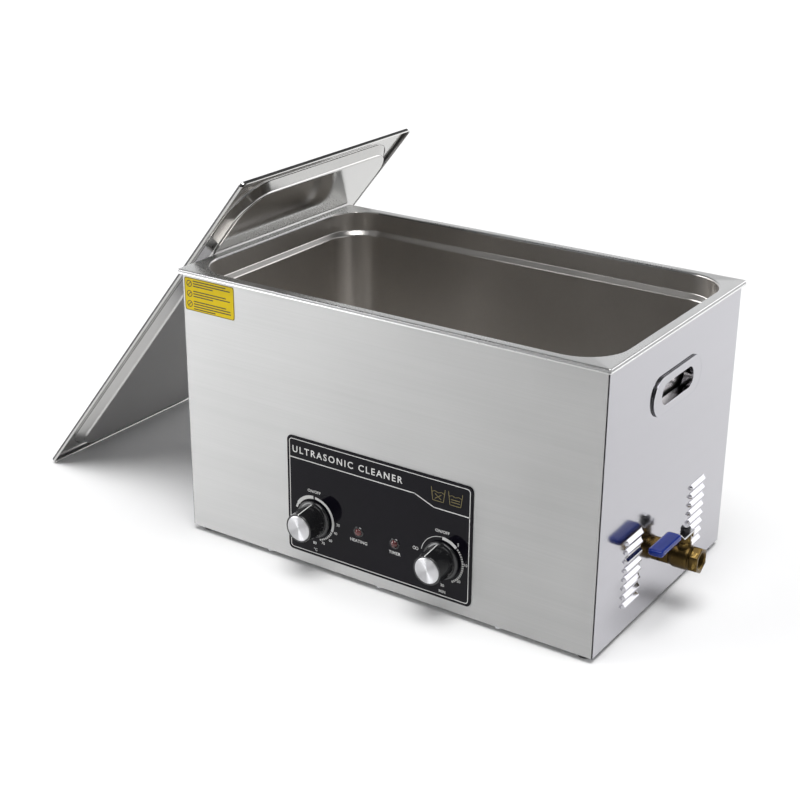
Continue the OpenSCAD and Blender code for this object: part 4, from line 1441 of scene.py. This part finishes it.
@dataclass
class Valve:
    """The brass ball valve with its cranked lever."""

    panel_x: float = 261.5
    axis_z: float = 61.0
    stem: float = 23.4
    body_end: float = 34.0
    outlet: float = 44.0
    bore: float = 7.2
    thread: float = 9.3
    lever_z: float = 26.5
    lever_length: float = 76.0
    lever_width: float = 12.0
    lever_thick: float = 2.5
    crank: float = 8.5

    def casting(self) -> None:
        """Builds the body: a hexagon, a rounded belly and the stem's chimney."""
        shape = Shape()
        shape.nut(25.0, 10.4, 0.0, 10.5, 0.0)
        shape.spun([(10.4, 9.8), (11.6, 10.2), (12.0, 11.0), (12.2, 12.0), (13.1, 13.4), (13.7, 15.0),
                    (13.8, 18.0), (13.8, 28.0), (13.5, 30.5), (13.0, 31.6), (13.3, 32.2), (13.3, 33.4),
                    (12.8, 34.0), (11.4, 34.0)], 56)
        chimney = Shape()
        chimney.spun([(4.1, 17.9), (6.6, 18.0), (7.3, 17.5), (7.5, 16.6), (7.5, 14.4), (8.2, 12.6),
                      (9.6, 10.0)], 40)
        shape.add(chimney, Matrix.Translation((0, 0, self.stem)) @ Matrix.Rotation(-math.pi / 2, 4, "X"))
        shape.done("valve_casting", CAST_BRASS, "cabinet", self.place(), ("valve_body",), "brass")

    def place(self) -> Matrix:
        """The frame whose Z axis runs out along the pipe and whose Y axis points up."""
        return Side.RIGHT.at(self.panel_x, 0, self.axis_z)

    def outlet_end(self) -> None:
        """Builds the hexagonal end piece with its threaded mouth."""
        shape = Shape()
        shape.nut(26.0, self.thread + 0.9, self.body_end + 0.1, self.outlet, 0.0)
        mouth = [(self.thread + 0.9, self.outlet), (self.thread + 0.1, self.outlet - 0.9)]
        depth = self.outlet - 0.9
        while depth > self.outlet - 8.0:
            mouth += [(self.thread - 0.55, depth - 0.45), (self.thread, depth - 0.9)]
            depth -= 0.9
        mouth += [(self.bore, self.outlet - 8.4), (self.bore, self.body_end - 2.0)]
        shape.spun(mouth, 48)
        shape.done("valve_outlet", BRASS, "cabinet", self.place(), ("valve_end",), "brass", sharp=50.0)

    def top_works(self) -> None:
        """Builds the packing nut, the cranked lever, its dipped sleeve and the black nut."""
        stem = Side.TOP.at(self.panel_x + self.stem, 0, self.axis_z)
        gland = Shape()
        gland.nut(13.0, 4.1, 18.0, self.lever_z - 0.5, 15.0)
        gland.done("valve_gland", BRASS, "cabinet", stem, ("packing_nut",), "black_steel")
        low, high, t = self.lever_z, self.lever_z + self.crank, self.lever_thick
        side = [(11.0, low - 6), (11.0, low + t), (-15.0, low + t), (-25.0, high + t),
                (-self.lever_length, high + t), (-self.lever_length, high), (-24.0, high), (-14.0, low),
                (11.0 - t, low), (11.0 - t, low - 6)]
        lever = Shape()
        lever.prism(side, -self.lever_width / 2, self.lever_width / 2)
        lever.soften(0.5, 2, 20.0)
        upright = Matrix(((0, 0, 1, 0), (1, 0, 0, 0), (0, 1, 0, 0), (0, 0, 0, 1)))
        lever.done("valve_handle_bar", BRIGHT_STEEL, "valve_handle", stem @ upright, ("valve_lever",),
                   "bright_steel")
        sleeve = Shape()
        far, near = self.lever_length + 1, 27.0
        width, middle = 17.0, -(self.lever_length + 28.0) / 2
        levels = [(2.4, -2.2), (0.9, -1.7), (0.15, -0.6), (0.0, 0.6), (0.0, 2.4), (0.3, 3.6), (1.2, 4.4),
                  (2.8, 4.7)]
        loops = [sleeve.ring(width - 2 * inset, far - near - 2 * inset, 4.6 - inset, high + level, 6,
                             (0.0, middle)) for inset, level in levels]
        sleeve.bridge(*loops)
        sleeve.cap(loops[0])
        sleeve.cap(loops[-1])
        sleeve.done("valve_handle_sleeve", BLUE_VINYL, "valve_handle", stem, ("lever_sleeve",), "blue_vinyl",
                    sharp=60.0)
        nut = Shape()
        nut.nut(10.0, 3.0, low + t, low + t + 5.5, 10.0)
        nut.done("valve_handle_nut", BLACK_STEEL, "valve_handle", stem, ("lever_nut",), "black_steel")

    def build(self) -> None:
        """Builds the whole valve."""
        self.casting()
        self.outlet_end()
        self.top_works()


@dataclass
class Lid:
    """The loose lid, leaning on the rim with its underside to the front."""

    size: Point = (530.0, 325.0)
    lip: float = 5.0
    corner: float = 6.0
    edge: float = 14.0
    press: float = 12.0
    sheet: float = 1.0
    centre_corner: float = 48.0
    slope: float = 9.0
    # Depth of the band of painted shade at the top of the lip.
    painted_shade_depth: float = 2.6
    lean: float = 51.5
    shift: float = 40.0
    gap: float = 0.3
    rim_z: float = 320.0
    curl: float = 1.2
    press_bend: float = 1.8
    foot_bend: float = 2.2

    def place(self) -> Matrix:
        """The frame of the flat lid, leaning from the floor onto the rim.

        Returns:
            The lid's placement.
        """
        lean = math.radians(self.lean)
        under = self.press + self.gap
        z = self.size[0] / 2 * math.sin(lean) + self.lip * math.cos(lean)
        touch = (self.rim_z - z + under * math.cos(lean)) / math.sin(lean)
        x = -self.size[0] / 2 - touch * math.cos(lean) - under * math.sin(lean)
        return Matrix.Translation((x, self.shift, z)) @ Matrix.Rotation(-lean, 4, "Y")

    def panel(self) -> None:
        """Builds the lid's skin: a turned-down lip, a flat flange and the pressed centre."""
        shape = Shape()

        def loop(size: Point, radius: float, grow: float, level: float) -> Edges:
            """One loop of that size and corner, grown all round, at that level."""
            return shape.ring(size[0] + 2 * grow, size[1] + 2 * grow, radius + grow, level, 10)

        inner = (self.size[0] - 2 * self.edge - 2, self.size[1] - 2 * self.edge - 2)
        corner = self.centre_corner - 1
        deep = -self.press + self.sheet
        angles = [math.pi / 8 * i for i in range(5)]
        loops = [loop(self.size, self.corner, 0.0, level) for level in (-self.lip, -self.painted_shade_depth)]
        loops += [loop(self.size, self.corner, self.curl * (math.cos(a) - 1), self.curl * (math.sin(a) - 1))
                  for a in angles]
        loops += [loop(inner, corner, side, -down) for side, down in bend(self.press_bend)]
        loops += [loop(inner, corner, -self.slope - self.foot_bend * (1 - math.cos(a)),
                       deep + self.foot_bend * (1 - math.sin(a))) for a in angles]
        shape.bridge(*loops)
        shape.cap(loops[-1])
        shape.map_flat()
        # The top of the lip takes darker steel, as painted shade in place of the dark reflection along the
        # edge.
        shape.done("lid_sheet", LID_STEEL, "lid", self.place(), ("lid_panel",), "sheet_steel", self.sheet,
                   (0, 0, 1), accents=((PAINTED_SHADE_EDGE_STEEL, self.on_painted_shade_edge),))

    def on_painted_shade_edge(self, face: bmesh.types.BMFace) -> bool:
        """Whether a face is on the outer edge, at the top of the lip, which takes darker steel as painted
        shade.

        Args:
            face: A face of the lid.

        Returns:
            True for the lip's upper part.
        """
        x, y, z = face.calc_center_median()
        outside = abs(x) > self.size[0] / 2 - 0.6 or abs(y) > self.size[1] / 2 - 0.6
        return outside and z > -self.painted_shade_depth

    def strap(self) -> None:
        """Builds the bent strap handle on the lid's outer face."""
        deep, top, t = -self.press + self.sheet, 26.0, 2.0
        half = [(42.0, top - t), (50.0, deep), (72.0, deep), (72.0, deep + t), (51.5, deep + t), (43.5, top)]
        side = half + [(-x, z) for x, z in reversed(half)]
        shape = Shape()
        shape.prism(side, -10.0, 10.0)
        shape.soften(0.7, 3, 20.0)
        upright = Matrix(((1, 0, 0, 0), (0, 0, -1, 0), (0, 1, 0, 0), (0, 0, 0, 1)))
        shape.done("lid_strap", BRIGHT_STEEL, "lid", self.place() @ upright, ("lid_handle",), "bright_steel")

    def build(self) -> None:
        """Builds the lid and its handle."""
        self.panel()
        self.strap()


@dataclass
class Rear:
    """The fan's guard, seen from behind."""

    fan: Point = (-150.0, 62.0)
    back_y: float = 157.5
    wire: float = 0.8
    cross: float = 47.0
    eye_at: float = 35.75

    def build(self) -> None:
        """Builds the guard from rings of wire, two cross wires and four eyes."""
        guard = Shape()
        for radius in (10.0, 19.0, 28.0, 37.0):
            guard.spun([(radius + self.wire * math.cos(a), 1.0 + self.wire * math.sin(a))
                        for a in (math.tau * i / 8 for i in range(9))], 56)
        for turn in (45.0, 135.0):
            wire = Shape()
            ends = [wire.circle(0.9, end, 10) for end in (-self.cross, self.cross)]
            wire.bridge(*ends)
            for end in ends:
                wire.cap(end)
            guard.add(wire, Matrix.Translation((0, 0, 1.0)) @ Matrix.Rotation(math.radians(turn), 4, "Z")
                      @ Matrix.Rotation(math.pi / 2, 4, "X"))
        for x in (-self.eye_at, self.eye_at):
            for y in (-self.eye_at, self.eye_at):
                eye = Shape()
                eye.spun([(2.1, 0.1), (2.1, 1.9), (2.6, 2.0), (3.8, 1.7), (4.0, 1.0), (3.8, 0.3),
                          (2.1, 0.1)], 24)
                guard.add(eye, Matrix.Translation((x, y, 0)))
        guard.done("fan_grille", BRIGHT_STEEL, "cabinet", Side.REAR.at(self.fan[0], self.back_y, self.fan[1]),
                   ("fan_guard",), "bright_steel")


@dataclass
class Studio:
    """The pale floor, the soft lights and the camera.

    Bearings are in degrees, from the front towards the right.
    """

    target: Triple = (-0.08185, 0.00702, 0.150)
    azimuth: float = 33.75
    elevation: float = 22.58
    distance: float = 1.7985
    roll: float = 0.439
    lens: float = 69.74
    sun_strength: float = 2.75
    sun_angle: float = 40.0
    sun_turn: Triple = (9.0, 9.0, 0.0)
    zenith: float = 0.10
    room: float = 1.0
    window: float = 5.2
    back_window: float = 2.2
    shade: float = 0.04
    shade_at: float = 20.0
    window_at: float = -62.0
    back_window_at: float = 148.0
    floor_reach: float = 60.0

    def floor(self) -> None:
        """Lays a wide floor, cut into a coarse grid."""
        bm = bmesh.new()
        bmesh.ops.create_grid(bm, x_segments=40, y_segments=40, size=self.floor_reach)
        mesh = bpy.data.meshes.new("studio_floor")
        bm.to_mesh(mesh)
        bm.free()
        ground = bpy.data.objects.new("studio_floor", mesh)
        bpy.context.scene.collection.objects.link(ground)
        mesh.materials.append(FLOOR.material())

    def lamps(self) -> None:
        """Hangs one wide soft light overhead."""
        data = bpy.data.lights.new("overhead", "SUN")
        data.energy = self.sun_strength
        data.angle = math.radians(self.sun_angle)
        lamp = bpy.data.objects.new("overhead", data)
        lamp.rotation_euler = [math.radians(a) for a in self.sun_turn]
        bpy.context.scene.collection.objects.link(lamp)

    def room_light(self) -> None:
        """Lights the room: bright walls, a window left, one behind, a dim front and ceiling."""
        world = bpy.data.worlds.new("studio")
        world.use_nodes = True
        nodes, links = world.node_tree.nodes, world.node_tree.links
        way = nodes.new("ShaderNodeTexCoord").outputs["Generated"]
        split = nodes.new("ShaderNodeSeparateXYZ")
        links.new(way, split.inputs["Vector"])

        def vector_maths(operation: str, vector: Socket, other: Triple = (0.0, 0.0, 0.0)) -> bpy.types.Node:
            """A vector maths node fed by a socket and a plain vector.

            Args:
                operation: What it does.
                vector: The first vector.
                other: The second vector, where the operation has one.

            Returns:
                The node.
            """
            node = nodes.new("ShaderNodeVectorMath")
            node.operation = operation
            links.new(vector, node.inputs[0])
            node.inputs[1].default_value = other
            return node

        def bearing(axis: float) -> Socket:
            """The cosine of the angle on the ground between a bearing and the ray.

            Args:
                axis: The bearing.

            Returns:
                The cosine's socket.
            """
            turned = math.radians(axis)
            level = vector_maths("MULTIPLY", way, (1.0, 1.0, 0.0)).outputs["Vector"]
            unit = vector_maths("NORMALIZE", level).outputs["Vector"]
            facing = (math.sin(turned), -math.cos(turned), 0.0)
            return vector_maths("DOT_PRODUCT", unit, facing).outputs["Value"]

        def ramp(value: Socket, start: float, end: float, low: Feed, high: Feed) -> Socket:
            """A soft step from one level to another.

            Args:
                value: What drives it.
                start: Where it starts.
                end: Where it ends.
                low: The level before.
                high: The level after.

            Returns:
                The level's socket.
            """
            node = nodes.new("ShaderNodeMapRange")
            node.interpolation_type = "SMOOTHSTEP"
            links.new(value, node.inputs["Value"])
            for name, number in (("From Min", start), ("From Max", end), ("To Min", low), ("To Max", high)):
                if isinstance(number, Socket):
                    links.new(number, node.inputs[name])
                else:
                    node.inputs[name].default_value = number
            return node.outputs["Result"]

        walls = ramp(bearing(self.shade_at), 0.40, 0.74, self.room, self.shade)
        lit = ramp(bearing(self.window_at), 0.845, 0.93, walls, self.window)
        both = ramp(bearing(self.back_window_at), 0.84, 0.95, lit, self.back_window)
        level = ramp(split.outputs["Z"], 0.37, 0.555, both, self.zenith)
        back = nodes["Background"]
        back.inputs["Color"].default_value = (0.985, 0.99, 1.0, 1.0)
        links.new(level, back.inputs["Strength"])
        bpy.context.scene.world = world

    def camera(self) -> None:
        """Sets up the camera."""
        a, e, r = (math.radians(x) for x in (self.azimuth, self.elevation, self.roll))
        back = Vector((math.sin(a) * math.cos(e), -math.cos(a) * math.cos(e), math.sin(e)))
        right = (-back).cross(Vector((0, 0, 1))).normalized()
        up = right.cross(-back)
        turned = Matrix((right * math.cos(r) + up * math.sin(r), up * math.cos(r) - right * math.sin(r),
                         back))
        data = bpy.data.cameras.new("camera")
        data.lens = self.lens
        data.sensor_width = 36.0
        data.clip_start = 0.05
        data.clip_end = 200.0
        view = bpy.data.objects.new("camera", data)
        place = Matrix.Translation(Vector(self.target) + back * self.distance)
        view.matrix_world = place @ turned.transposed().to_4x4()
        bpy.context.scene.collection.objects.link(view)
        bpy.context.scene.camera = view

    def build(self) -> None:
        """Builds the studio."""
        bpy.context.scene.view_settings.view_transform = "Standard"
        self.camera()
        self.floor()
        self.lamps()
        self.room_light()


def clear_start() -> None:
    """Removes what a new file holds beside the frame."""
    kept = set(frame["nodes"].values()) | set(frame["bodies"].values())
    for thing in list(bpy.data.objects):
        if thing not in kept:
            bpy.data.objects.remove(thing)


def dress_frame() -> None:
    """Gives every CAD node that stays in view its own finish."""
    for name, finish in CAD_FINISHES.items():
        node = frame["nodes"][name]
        node.data.materials.clear()
        node.data.materials.append(finish.material())
        log.info("%s: %s", name, finish.name)


def main() -> None:
    """Builds the studio, the CAD nodes' finishes and every new piece."""
    logging.basicConfig(level=logging.INFO, format="%(name)s: %(message)s")
    clear_start()
    Studio().build()
    dress_frame()
    Cabinet().build()
    Bath().build()
    Label().build()
    ControlPanel().build()
    Valve().build()
    Lid().build()
    Rear().build()


if __name__ == "__main__":
    main()
